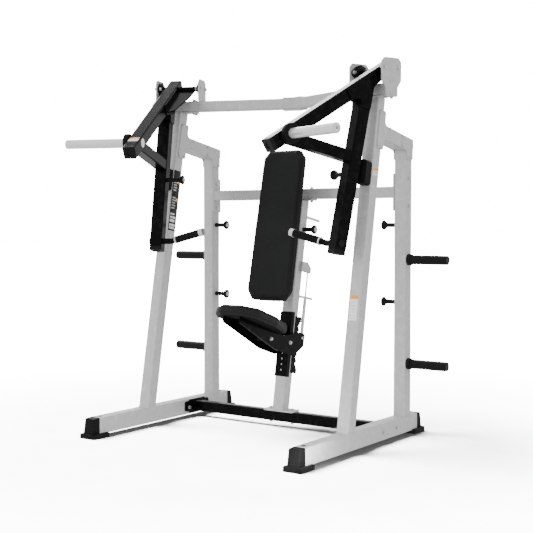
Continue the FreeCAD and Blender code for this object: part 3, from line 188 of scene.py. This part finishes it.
MATERIALS = {
    "silver_paint": powder_coat("SilverPaint", grey(0.500), grey(0.515), (0.38, 0.42), grey(0.56),
                                Specular_IOR_Level=0.4, Metallic=0.12),
    "black_paint": powder_coat("BlackPaint", grey(0.0012), grey(0.0020), (0.17, 0.23), grey(0.006),
                               relief=0.2, Specular_IOR_Level=0.07),
    "rubber": moulded("Rubber", grey(0.0045), grey(0.0070), (0.55, 0.7), 0.25, 0.12),
    "plastic": moulded("Plastic", grey(0.0045), grey(0.0070), (0.38, 0.5), 0.12, 0.15),
    "chrome": metal("Chrome", grey(0.84), grey(0.92), (0.24, 0.32), 40, 0.55),
    "steel": metal("Steel", grey(0.62), grey(0.76), (0.26, 0.36)),
    "aluminium": metal("Aluminium", grey(0.84), grey(0.92), (0.24, 0.34)),
    "iron": powder_coat("CastIron", grey(0.002), grey(0.004), (0.30, 0.42),
                        Specular_IOR_Level=0.15),
    "vinyl": vinyl("Vinyl", 0.0125, 0.0155),
    "seam": moulded("Seam", grey(0.007), grey(0.010), (0.5, 0.6), 0.1, 0.1),
    "board": moulded("Board", grey(0.003), grey(0.005), (0.6, 0.75), 0.3, 0.1),
    "grip": moulded("GripRubber", grey(0.005), grey(0.008), (0.5, 0.62), 0.3, 0.15),
    "label_orange": moulded("LabelOrange", (0.86, 0.36, 0.03), (0.92, 0.42, 0.05), (0.4, 0.5),
                            0.02),
    "label_white": moulded("LabelWhite", grey(0.90), grey(0.95), (0.4, 0.5), 0.02),
    "label_pale": moulded("LabelPale", grey(0.76), grey(0.84), (0.4, 0.5), 0.02),
    "label_black": moulded("LabelBlack", grey(0.006), grey(0.010), (0.3, 0.4), 0.02),
    "label_grey": moulded("LabelGrey", grey(0.36), grey(0.46), (0.4, 0.5), 0.02),
}
SLOT_OF = {item["node"]: item["material_slot"] for item in frame["record"]["subparts"]}

for node_name, thing in NODES.items():
    material = MATERIALS[SLOT_OF[node_name]]
    thing.data.materials.clear()
    thing.data.materials.append(material)

# ---------------------------------------------------------------------------------------------
# Making pieces
# ---------------------------------------------------------------------------------------------

X_AXIS, Y_AXIS, Z_AXIS = Vector((1, 0, 0)), Vector((0, 1, 0)), Vector((0, 0, 1))
RIGHT, LEFT = 1, -1
VEE = math.radians(21)
PIVOT = Vector((0.13427, 0.34979, 1.930))
LEAN = math.radians(10)


def apply_modifiers(thing):
    """Replace the mesh by what its modifiers make of it."""
    graph = bpy.context.evaluated_depsgraph_get()
    mesh = bpy.data.meshes.new_from_object(thing.evaluated_get(graph))
    thing.modifiers.clear()
    thing.data = mesh


def add_piece(name, form, material, body):
    """Turn a bmesh into a smooth-shaded piece that rides on a body."""
    bmesh.ops.recalc_face_normals(form, faces=form.faces)
    mesh = bpy.data.meshes.new(name)
    form.to_mesh(mesh)
    form.free()
    for polygon in mesh.polygons:
        polygon.use_smooth = True
    mesh.set_sharp_from_angle(angle=math.radians(38))
    mesh.materials.append(MATERIALS[material])
    thing = bpy.data.objects.new(name, mesh)
    SCENE.collection.objects.link(thing)
    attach(thing, body)
    return thing


def facing(place, direction, across=None):
    """Matrix with its origin at a place and its z axis along a direction."""
    z = Vector(direction).normalized()
    x = Vector(across).normalized() if across else z.orthogonal().normalized()
    y = z.cross(x)
    return Matrix.Translation(Vector(place)) @ Matrix((x, y, z)).transposed().to_4x4()


def mirrored(point, side):
    return Vector((side * point[0], point[1], point[2]))


def in_pivot(n, e, rise, side=RIGHT):
    """A point of the pivot frame: along the shaft, to the rear of it and above it."""
    x = PIVOT.x + n * math.cos(VEE) + e * math.sin(VEE)
    y = PIVOT.y - n * math.sin(VEE) + e * math.cos(VEE)
    return mirrored((x, y, PIVOT.z + rise), side)


def hex_radius(flat, angle):
    """Distance to the edge of a hexagon, given half its width across flats."""
    sixth = math.pi / 3
    return flat / math.cos((angle % sixth) - sixth / 2)


def turned(form, matrix, rings, segments=24):
    """Closed turned solid from (radius, height) rings; a third item makes a ring six-sided."""
    loops = []
    for ring in rings:
        loop = []
        for index in range(segments):
            angle = 2 * math.pi * index / segments
            reach = hex_radius(ring[0], angle) if len(ring) > 2 else ring[0]
            loop.append(form.verts.new(
                matrix @ Vector((reach * math.cos(angle), reach * math.sin(angle), ring[1]))))
        loops.append(loop)
    for low, high in zip(loops, loops[1:]):
        for index in range(segments):
            after = (index + 1) % segments
            form.faces.new((low[index], low[after], high[after], high[index]))
    form.faces.new(list(reversed(loops[0])))
    form.faces.new(loops[-1])


def rounded(points, radius, steps=6):
    """Outline with every corner rounded."""
    result = []
    count = len(points)
    for index in range(count):
        before, here, after = points[index - 1], points[index], points[(index + 1) % count]
        back, ahead = (before - here), (after - here)
        reach = min(radius, 0.45 * back.length, 0.45 * ahead.length)
        start, stop = here + back.normalized() * reach, here + ahead.normalized() * reach
        for step in range(steps + 1):
            t = step / steps
            result.append(start * (1 - t) ** 2 + here * 2 * t * (1 - t) + stop * t * t)
    return result


def inset_outline(points, amount):
    """Move each edge of a convex outline (anticlockwise) inwards by the same amount."""
    count = len(points)
    result = []
    for index in range(count):
        before, here, after = points[index - 1], points[index], points[(index + 1) % count]
        first, second = (here - before).normalized(), (after - here).normalized()
        normal_1, normal_2 = Vector((-first.y, first.x)), Vector((-second.y, second.x))
        bisector = (normal_1 + normal_2).normalized()
        result.append(here + bisector * amount / max(bisector.dot(normal_1), 0.2))
    return result


def slab(form, outline, rings, matrix):
    """Closed solid over an outline from (inset, height) rings."""
    loops = []
    for inset, height in rings:
        loops.append([form.verts.new(matrix @ Vector((p.x, p.y, height)))
                      for p in inset_outline(outline, inset)])
    for low, high in zip(loops, loops[1:]):
        for index in range(len(low)):
            after = (index + 1) % len(low)
            form.faces.new((low[index], low[after], high[after], high[index]))
    form.faces.new(list(reversed(loops[0])))
    form.faces.new(loops[-1])


def rectangle(low, high):
    return [Vector(low), Vector((high[0], low[1])), Vector(high), Vector((low[0], high[1]))]


def tube_along(form, points, radius, sides=8, ripple=0.0, closed=True):
    """Tube along a path; the ripple swells and narrows it like a weld bead."""
    count = len(points)
    loops = []
    for index, point in enumerate(points):
        before = points[index - 1] if closed or index else point
        after = points[(index + 1) % count] if closed or index < count - 1 else point
        ahead = (after - before).normalized()
        upright = abs(ahead.z) > 0.95
        side = (ahead.orthogonal() if upright else ahead.cross(Z_AXIS)).normalized()
        up = side.cross(ahead)
        reach = radius * (1 + ripple * (index % 2))
        loops.append([form.verts.new(point + (side * math.cos(a) + up * math.sin(a)) * reach)
                      for a in (2 * math.pi * k / sides for k in range(sides))])
    pairs = list(zip(loops, loops[1:])) + ([(loops[-1], loops[0])] if closed else [])
    for low, high in pairs:
        for k in range(sides):
            form.faces.new((low[k], low[(k + 1) % sides], high[(k + 1) % sides], high[k]))
    if not closed:
        form.faces.new(list(reversed(loops[0])))
        form.faces.new(loops[-1])


def spread_along(outline, pitch):
    """Points at an even pitch along a closed outline of any dimension."""
    result = []
    for index, here in enumerate(outline):
        after = outline[(index + 1) % len(outline)]
        steps = max(1, round((after - here).length / pitch))
        result += [here.lerp(after, step / steps) for step in range(steps)]
    return result


# ---------------------------------------------------------------------------------------------
# Pads
# ---------------------------------------------------------------------------------------------

BOARD = 0.007
CROWN = 0.0035
VOXEL, VOXEL_QUICK = 0.004, 0.008
CLOTH_FRAMES = 20
SEAM_RADIUS = 0.0011


def settle(thing, thick):
    """Remesh the pad, let pressure fill its cover, and keep it inside its room."""
    remesh = thing.modifiers.new("Remesh", "REMESH")
    remesh.mode = "VOXEL"
    remesh.voxel_size = VOXEL
    apply_modifiers(thing)
    start = [vertex.co.copy() for vertex in thing.data.vertices]
    pinned = thing.vertex_groups.new(name="Board")
    pinned.add([v.index for v in thing.data.vertices if v.co.z < BOARD], 1.0, "REPLACE")
    cloth = thing.modifiers.new("Cloth", "CLOTH")
    cloth.settings.quality = 4
    cloth.settings.use_pressure = True
    cloth.settings.uniform_pressure_force = 4.0
    cloth.settings.effector_weights.gravity = 0.0
    cloth.settings.vertex_group_mass = "Board"
    cloth.settings.tension_stiffness = 30
    cloth.settings.bending_stiffness = 3.0
    for number in range(1, CLOTH_FRAMES + 1):
        SCENE.frame_set(number)
    apply_modifiers(thing)
    SCENE.frame_set(1)
    for vertex, first in zip(thing.data.vertices, start):
        move = vertex.co - first
        if move.length > CROWN:
            vertex.co = first + move.normalized() * CROWN
        vertex.co.z = min(vertex.co.z, thick)
    relax = thing.modifiers.new("Smooth", "SMOOTH")
    relax.factor = 0.4
    relax.iterations = 1
    apply_modifiers(thing)


def cushion(name, outline, thick, chamfer, matrix, body, node):
    """Upholstered pad on a board: chamfered welts front and back and a filled, crowned face."""
    low = BOARD * 0.6
    rings = [(chamfer * 0.8, low), (0.0, low + chamfer), (0.0, thick - chamfer),
             (chamfer, thick - 0.0015), (chamfer * 3.5, thick)]
    form = bmesh.new()
    slab(form, outline, rings, Matrix())
    bmesh.ops.triangulate(form, faces=[face for face in form.faces if len(face.verts) > 4])
    mesh = bpy.data.meshes.new(name)
    form.to_mesh(mesh)
    form.free()
    thing = bpy.data.objects.new(name, mesh)
    SCENE.collection.objects.link(thing)
    settle(thing, thick)
    mesh = thing.data
    mesh.transform(matrix)
    for polygon in mesh.polygons:
        polygon.use_smooth = True
    mesh.materials.append(MATERIALS["vinyl"])
    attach(thing, body)
    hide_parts(node)
    surface = BVHTree.FromPolygons([v.co for v in mesh.vertices],
                                   [p.vertices for p in mesh.polygons])
    form = bmesh.new()
    for inset, height in ((0.0, thick - chamfer), (0.0, low + chamfer)):
        path = [matrix @ Vector((p.x, p.y, height))
                for p in spread_along(inset_outline(outline, inset), 0.006)]
        tube_along(form, [surface.find_nearest(point)[0] for point in path], SEAM_RADIUS, 6)
    add_piece(name + "Seams", form, "seam", body)
    form = bmesh.new()
    rings = [(chamfer * 1.4, 0.0005), (chamfer * 1.2, 0.002), (chamfer * 1.2, BOARD * 1.4)]
    slab(form, outline, rings, matrix)
    add_piece(name + "Board", form, "board", body)


SEAT_TILT = math.radians(-18.5)
SEAT_TOP_FRONT = Vector((0, -0.218, 0.726))
SEAT_THICK = 0.062


def make_seat():
    """Seat cushion, a waisted outline, tilted with the carriage."""
    nose, half, tail = 0.067, 0.145, 0.092
    shoulder, waist, long_ = 0.065, 0.255, 0.430
    right = [(nose, 0), (half, shoulder), (half, waist), (tail, long_)]
    corners = [Vector(p) for p in right] + [Vector((-x, y)) for x, y in reversed(right)]
    outline = inset_outline(rounded(corners, 0.016, 4), 0.0015)
    tilt = Matrix.Rotation(SEAT_TILT, 4, "X")
    matrix = Matrix.Translation(SEAT_TOP_FRONT) @ tilt @ Matrix.Translation((0, 0, -SEAT_THICK))
    cushion("SeatCushion", outline, SEAT_THICK, 0.012, matrix, "seat", "seat_pad")


BACK_LEAN = math.radians(11.6)
BACK_LOW, BACK_HIGH, BACK_TOP_Y = 0.720, 1.556, 0.297
BACK_THICK = 0.058


def make_back():
    """Back cushion: its board faces the post, its crowned face the user."""
    long_ = (BACK_HIGH - BACK_LOW) / math.cos(BACK_LEAN)
    foot, top, corner, rise, drop = 0.146, 0.137, 0.038, 0.055, 0.045
    right = [(foot - corner, 0), (foot, rise), (top, long_ - drop), (top - corner, long_)]
    corners = [Vector(p) for p in right] + [Vector((-x, y)) for x, y in reversed(right)]
    outline = inset_outline(rounded(corners, 0.012, 3), 0.0015)
    place = Matrix.Translation((0, BACK_TOP_Y - long_ * math.sin(BACK_LEAN), BACK_LOW))
    turn = Matrix.Rotation(-BACK_LEAN, 4, "X") @ Matrix.Rotation(math.radians(90), 4, "X")
    matrix = place @ turn @ Matrix.Translation((0, 0, -BACK_THICK / 2))
    cushion("BackCushion", outline, BACK_THICK, 0.014, matrix, "frame", "back_pad")


make_seat()
make_back()

# ---------------------------------------------------------------------------------------------
# Fittings
# ---------------------------------------------------------------------------------------------

SCREW = [(0.0088, 0.0), (0.0088, 0.0012), (0.0079, 0.0036), (0.0058, 0.0052), (0.0042, 0.0055),
         (0.0031, 0.0054, "hex"), (0.0030, 0.0022, "hex")]


def screws(name, body, spots, scale=1.0):
    """Button-head socket screws at (place, direction) spots, as one piece."""
    form = bmesh.new()
    rings = [(ring[0] * scale, ring[1] * scale, *ring[2:]) for ring in SCREW]
    for place, direction in spots:
        turned(form, facing(place, direction), rings)
    add_piece(name, form, "steel", body)


CROSSING = Vector((0, 0.1258, 1.6232))
GUSSET_OUT, GUSSET_IN = 0.697, 0.615
GUSSET_SCREWS = [(-0.006, 0.093), (0.030, 0.091), (0.101, 0.028), (0.101, -0.016),
                 (-0.007, -0.084), (0.030, -0.083)]
CORNER_SCREWS = [(0.373, 1.603), (0.373, 1.559), (0.434, 1.500), (0.468, 1.500)]
PIVOT_PLATE_OUT = 0.682
PIVOT_SCREWS = (-0.069, -0.128)


def frame_screws():
    """Screws of the corner plates and of the outer pivot plates."""
    spots = []
    for side in (RIGHT, LEFT):
        places = [(CROSSING.y + u * math.cos(LEAN) + v * math.sin(LEAN),
                   CROSSING.z - u * math.sin(LEAN) + v * math.cos(LEAN)) for u, v in GUSSET_SCREWS]
        for y, z in places + CORNER_SCREWS:
            spots.append((mirrored((GUSSET_OUT, y, z), side), mirrored(X_AXIS, side)))
            spots.append((mirrored((GUSSET_IN, y, z), side), mirrored(-X_AXIS, side)))
        outward = in_pivot(1, 0, 0, side) - in_pivot(0, 0, 0, side)
        for rise in PIVOT_SCREWS:
            spots.append((in_pivot(PIVOT_PLATE_OUT, 0, rise, side), outward))
    screws("FrameScrews", "frame", spots)


BAND_TIP = 0.535
REAR_LINE = 0.451
BAND_HEIGHTS = (1.138, 0.721)
POST_TIP = Vector((0.115, 0.4205, 1.112))
ARM_PEG_TIP = (0.466, -0.2013, -0.5370)
PEG_BOLT = 1.5


def peg_bolts():
    """Bright socket bolts in the heads of the band pegs."""
    spots = [(mirrored((BAND_TIP, REAR_LINE, z), side), mirrored(-X_AXIS, side))
             for side in (RIGHT, LEFT) for z in BAND_HEIGHTS]
    screws("BandPegBolts", "frame", spots + [(POST_TIP, X_AXIS)], PEG_BOLT)
    for side, body in ((RIGHT, "right_arm"), (LEFT, "left_arm")):
        inward = in_pivot(0, 0, 0, side) - in_pivot(1, 0, 0, side)
        screws(body + "_peg_bolts", body, [(in_pivot(*ARM_PEG_TIP, side), inward)], PEG_BOLT)


def shaft_sleeves():
    """Bright spacer between the arm's hub and the inner bearing, and a snap ring on it."""
    low, high, inner, outer = 0.4485, 0.4735, 0.0105, 0.0125
    for side, body in ((RIGHT, "right_arm"), (LEFT, "left_arm")):
        outward = in_pivot(1, 0, 0, side) - in_pivot(0, 0, 0, side)
        form = bmesh.new()
        ring = [(inner, 0.0), (outer, 0.0006), (outer, 0.012), (outer - 0.001, 0.0126),
                (outer - 0.001, 0.0146), (outer, 0.0152), (outer, high - low - 0.0006),
                (inner, high - low)]
        turned(form, facing(in_pivot(low, 0, 0, side), outward), ring, 32)
        add_piece(body + "_sleeve", form, "chrome", body)


RAIL_TOP = 0.108
RAIL_X = 0.656
PLUG_Y = 0.525


def rail_plugs():
    """Round plastic plugs pressed into the tops of the base rails."""
    form = bmesh.new()
    plug = [(0.0125, 0.0), (0.0125, 0.0008), (0.0110, 0.0018), (0.0080, 0.0022), (0.0070, 0.0014),
            (0.0030, 0.0012)]
    for x, y in ((RAIL_X, -PLUG_Y), (-RAIL_X, -PLUG_Y), (RAIL_X, PLUG_Y), (-RAIL_X, PLUG_Y)):
        turned(form, facing((x, y, RAIL_TOP), Z_AXIS), plug)
    add_piece("RailPlugs", form, "plastic", "frame")


GRIP_RIB = 0.0027


def grips():
    """Rubber grips with fine rings, in the room of their plain solids."""
    for side, body in (("right", "right_arm"), ("left", "left_arm")):
        node = f"{side}_handle_grip"
        points = [vertex.co.copy() for vertex in NODES[node].data.vertices]
        centre = sum(points, Vector()) / len(points)
        far = max(points, key=lambda point: (point - centre).length)
        axis = (far - centre).normalized()
        for _ in range(3):
            high = [p for p in points if (p - centre).dot(axis) > 0]
            low = [p for p in points if (p - centre).dot(axis) <= 0]
            axis = (sum(high, Vector()) / len(high) - sum(low, Vector()) / len(low)).normalized()
        reach = max((p - centre).dot(axis) for p in points)
        outer = max(((p - centre) - axis * (p - centre).dot(axis)).length for p in points)
        inner = outer - 0.0037
        count = int(2 * (reach - 0.003) / GRIP_RIB)
        rings = [(inner, -reach), (outer - 0.0008, -reach), (outer, -reach + 0.0012)]
        for index in range(count):
            start = -reach + 0.003 + index * GRIP_RIB
            rings += [(outer, start), (outer, start + GRIP_RIB * 0.5),
                      (outer - 0.0007, start + GRIP_RIB * 0.65),
                      (outer - 0.0007, start + GRIP_RIB * 0.85)]
        rings += [(outer, reach - 0.0012), (outer - 0.0008, reach), (inner, reach)]
        form = bmesh.new()
        turned(form, facing(centre, axis), rings, 40)
        thing = add_piece(f"{side}_ribbed_grip", form, "grip", body)
        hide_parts(node)


frame_screws()
peg_bolts()
shaft_sleeves()
rail_plugs()
grips()

# ---------------------------------------------------------------------------------------------
# Welds
# ---------------------------------------------------------------------------------------------

TUBE_HALF = 0.035
WELD_PITCH = 0.0028
WELD_RIPPLE = 0.16


def weld_round_tube(form, centre, half_x, half_y):
    """Bead round a rectangular tube that stands on a level face."""
    corners = [Vector(p) for p in rectangle((-half_x, -half_y), (half_x, half_y))]
    outline = [centre + Vector((p.x, p.y, 0)) for p in rounded(corners, 0.007, 4)]
    tube_along(form, spread_along(outline, WELD_PITCH), 0.0026, 6, WELD_RIPPLE)


FRONT_LINE = -0.1604


def frame_welds():
    """Beads where the uprights stand on the base rails."""
    form = bmesh.new()
    for side in (RIGHT, LEFT):
        front_y = FRONT_LINE + math.tan(LEAN) * RAIL_TOP
        weld_round_tube(form, Vector((side * RAIL_X, front_y, RAIL_TOP)), TUBE_HALF,
                        TUBE_HALF / math.cos(LEAN))
        weld_round_tube(form, Vector((side * RAIL_X, REAR_LINE, RAIL_TOP)), TUBE_HALF, TUBE_HALF)
    add_piece("FrameWelds", form, "silver_paint", "frame")


HANDLE_SPOT = (-0.2814, -0.8829)
HANDLE_RADIUS = 0.016
ARM_IN, ARM_OUT = 0.562, 0.632


def arm_welds():
    """Beads where the handle enters the hanging tube."""
    for side, body in ((RIGHT, "right_arm"), (LEFT, "left_arm")):
        form = bmesh.new()
        centre = in_pivot(ARM_IN, *HANDLE_SPOT, side)
        across = (in_pivot(0, 1, 0, side) - in_pivot(0, 0, 0, side)).normalized()
        ring = [centre + (across * math.cos(a) + Z_AXIS * math.sin(a)) * HANDLE_RADIUS
                for a in (math.radians(9 * k) for k in range(40))]
        tube_along(form, ring, 0.0022, 6, WELD_RIPPLE)
        add_piece(body + "_handle_weld", form, "black_paint", body)


frame_welds()
arm_welds()

# ---------------------------------------------------------------------------------------------
# Labels: plain coloured fields, no lettering
# ---------------------------------------------------------------------------------------------

FOIL = 0.0004


def label(name, matrix, body, fields):
    """Foil label in its own plane; fields are (material, low corner, high corner, layer)."""
    for index, (material, low, high, layer) in enumerate(fields):
        form = bmesh.new()
        outline = rounded(rectangle(low, high), 0.002, 3)
        base = FOIL * 0.5 * layer
        slab(form, outline, [(0, base), (0, base + FOIL * 0.7), (0.0002, base + FOIL)], matrix)
        add_piece(f"{name}_{index}", form, material, body)


def plain_label(name, matrix, body, wide, tall, header):
    """Orange header over a white field with faint grey bars."""
    fields = [("label_white", (0, 0), (wide, tall - header), 0),
              ("label_orange", (0, tall - header), (wide, tall), 0)]
    bars = max(2, int((tall - header) / 0.016))
    for index in range(bars):
        low = 0.006 + index * (tall - header - 0.012) / bars
        right = wide * (0.82 if index % 2 else 0.88)
        fields.append(("label_pale", (wide * 0.12, low), (right, low + 0.008), 1))
    label(name, matrix, body, fields)


FRONT_LABEL_LOW = 0.661
ARM_SLOPE = math.radians(30.4)


def labels():
    """Labels on the right front upright and on the top face of each arm."""
    lean_up = Vector((0, math.sin(LEAN), math.cos(LEAN)))
    face = FRONT_LINE + math.tan(LEAN) * FRONT_LABEL_LOW - TUBE_HALF / math.cos(LEAN)
    matrix = facing((0.632, face, FRONT_LABEL_LOW), X_AXIS.cross(lean_up), X_AXIS)
    plain_label("front_label", matrix, "frame", 0.045, 0.127, 0.019)
    matrix = facing((0.691, 0.061, 1.390), X_AXIS, Y_AXIS)
    plain_label("side_label", matrix, "frame", 0.055, 0.037, 0.014)
    for side, body in ((RIGHT, "right_arm"), (LEFT, "left_arm")):
        origin = in_pivot(0, 0, 0, side)
        along = in_pivot(0, -math.cos(ARM_SLOPE), -math.sin(ARM_SLOPE), side) - origin
        above = in_pivot(0, -math.sin(ARM_SLOPE), math.cos(ARM_SLOPE), side) - origin
        start = in_pivot(ARM_IN + 0.007 if side == RIGHT else ARM_OUT - 0.007, 0, 0, side)
        across = (in_pivot(side, 0, 0, side) - origin).normalized()
        matrix = facing(start + along * 0.736 + above * 0.026, above, across)
        label(body + "_label", matrix, body, [("label_white", (0, 0), (0.056, 0.028), 0),
                                              ("label_orange", (0, 0.028), (0.056, 0.043), 0)])


def long_label():
    """Black strip down the inside of the left front upright, with plain bars and two spots."""
    lean_up = Vector((0, math.sin(LEAN), math.cos(LEAN)))
    back = Vector((0, math.cos(LEAN), -math.sin(LEAN)))
    low = Vector((-0.621, 0.002, 1.111))
    matrix = Matrix.Translation(low) @ Matrix((back, lean_up, X_AXIS)).transposed().to_4x4()
    fields = [("label_black", (0, 0), (0.060, 0.352), 0)]
    bars = [(0.010, 0.022, 0.85), (0.026, 0.040, 0.92), (0.050, 0.066, 0.80), (0.072, 0.084, 0.92),
            (0.092, 0.102, 0.70)]
    for low_z, high_z, reach in bars:
        fields.append(("label_pale", (0.006, low_z), (0.060 * reach, high_z), 1))
    for start in (0.128, 0.232):
        for index in range(5):
            low_z = start + index * 0.015
            right = 0.036 + 0.004 * (index % 2)
            fields.append(("label_grey", (0.008, low_z), (right, low_z + 0.008), 1))
        fields.append(("label_orange", (0.040, start + 0.044), (0.056, start + 0.064), 1))
    label("long_label", matrix, "frame", fields)


labels()
long_label()

# ---------------------------------------------------------------------------------------------
# Floor and light
# ---------------------------------------------------------------------------------------------

FLOOR_HALF = 40.0
FLOOR_SUN = 290.0
FLOOR_SUN_ANGLE, FLOOR_SUN_TURN = math.radians(34), (math.radians(10), math.radians(-30), 0)
FLOOR_NEAR, FLOOR_FAR = 1.3, 6.0
WHITE = 16.0
LIGHT_FROM = Vector((-0.55, 0.35, 0.76))


def area_light(name, place, target, size, power, glossy=False):
    """Rectangular light aimed at a place; only a glossy one shows in reflections."""
    data = bpy.data.lights.new(name, "AREA")
    data.shape = "RECTANGLE"
    data.size, data.size_y = size
    data.energy = power
    light = bpy.data.objects.new(name, data)
    light.location = place
    light.rotation_euler = (Vector(target) - Vector(place)).to_track_quat("-Z", "Y").to_euler()
    light.visible_glossy = glossy
    SCENE.collection.objects.link(light)


def floor_material():
    """Floor paint that fades into the white background with distance from the machine."""
    material = new_material("FloorPaint", Specular_IOR_Level=0.1, Emission_Color=(1, 1, 1, 1))
    shade(material, noise(material, 3, 3), (grey(0.12), grey(0.13)), (0.85, 0.95), [])
    place = add_node(material, "ShaderNodeTexCoord")
    reach = add_node(material, "ShaderNodeVectorMath", operation="LENGTH")
    link(material, place, "Object", reach, "Vector")
    fade = add_node(material, "ShaderNodeMapRange")
    for socket, value in (("From Min", FLOOR_NEAR), ("From Max", FLOOR_FAR),
                          ("To Min", 0.0), ("To Max", WHITE)):
        fade.inputs[socket].default_value = value
    link(material, reach, "Value", fade, "Value")
    shader = material.node_tree.nodes["Principled BSDF"]
    link(material, fade, "Result", shader, "Emission Strength")
    return material


def make_stage():
    """Floor for the shadow, with a soft sun that lights nothing else."""
    mesh = bpy.data.meshes.new("Floor")
    low, high = -FLOOR_HALF, FLOOR_HALF
    mesh.from_pydata([(low, low, 0), (high, low, 0), (high, high, 0), (low, high, 0)], [],
                     [(0, 1, 2, 3)])
    mesh.materials.append(floor_material())
    floor = bpy.data.objects.new("Floor", mesh)
    SCENE.collection.objects.link(floor)
    floor.visible_diffuse = False
    floor.visible_glossy = False
    floor.visible_shadow = False
    lit = bpy.data.collections.new("LitFloor")
    lit.objects.link(floor)
    data = bpy.data.lights.new("FloorLight", "SUN")
    data.energy = FLOOR_SUN
    data.angle = FLOOR_SUN_ANGLE
    overhead = bpy.data.objects.new("FloorLight", data)
    overhead.rotation_euler = FLOOR_SUN_TURN
    overhead.light_linking.receiver_collection = lit
    SCENE.collection.objects.link(overhead)


def make_world():
    """White to the camera; light that comes mostly from above and the left rear."""
    world = bpy.data.worlds.new("World")
    world.use_nodes = True
    nodes, links = world.node_tree.nodes, world.node_tree.links
    background = nodes["Background"]
    background.inputs[0].default_value = (1, 1, 1, 1)
    place = nodes.new("ShaderNodeTexCoord")
    aim = nodes.new("ShaderNodeVectorMath")
    aim.operation = "DOT_PRODUCT"
    aim.inputs[1].default_value = LIGHT_FROM
    links.new(place.outputs["Generated"], aim.inputs[0])
    spread = nodes.new("ShaderNodeMapRange")
    for socket, value in (("From Min", -0.8), ("From Max", 1.0),
                          ("To Min", 0.85), ("To Max", 1.25)):
        spread.inputs[socket].default_value = value
    links.new(aim.outputs["Value"], spread.inputs["Value"])
    seen = nodes.new("ShaderNodeLightPath")
    mix = nodes.new("ShaderNodeMix")
    mix.data_type = "FLOAT"
    links.new(seen.outputs["Is Camera Ray"], mix.inputs[0])
    links.new(spread.outputs["Result"], mix.inputs[2])
    mix.inputs[3].default_value = WHITE
    links.new(mix.outputs[0], background.inputs[1])
    SCENE.world = world


make_stage()
make_world()
area_light("Softbox", (-3.9, 2.9, 4.0), (0.1, 0, 1.6), (4.6, 1.9), 240, glossy=True)
area_light("Key", (-3.2, -5.2, 2.6), (0, 0, 1.0), (2.6, 2.6), 150)
area_light("Side", (5.5, -2.0, 2.4), (0, 0, 0.8), (2.2, 2.6), 50)
area_light("Low", (2.6, -1.6, 0.12), (0, 0, 0.06), (2.6, 0.2), 10)
area_light("LowInner", (0.5, -0.9, 0.10), (-0.6, 0, 0.06), (1.2, 0.15), 6)
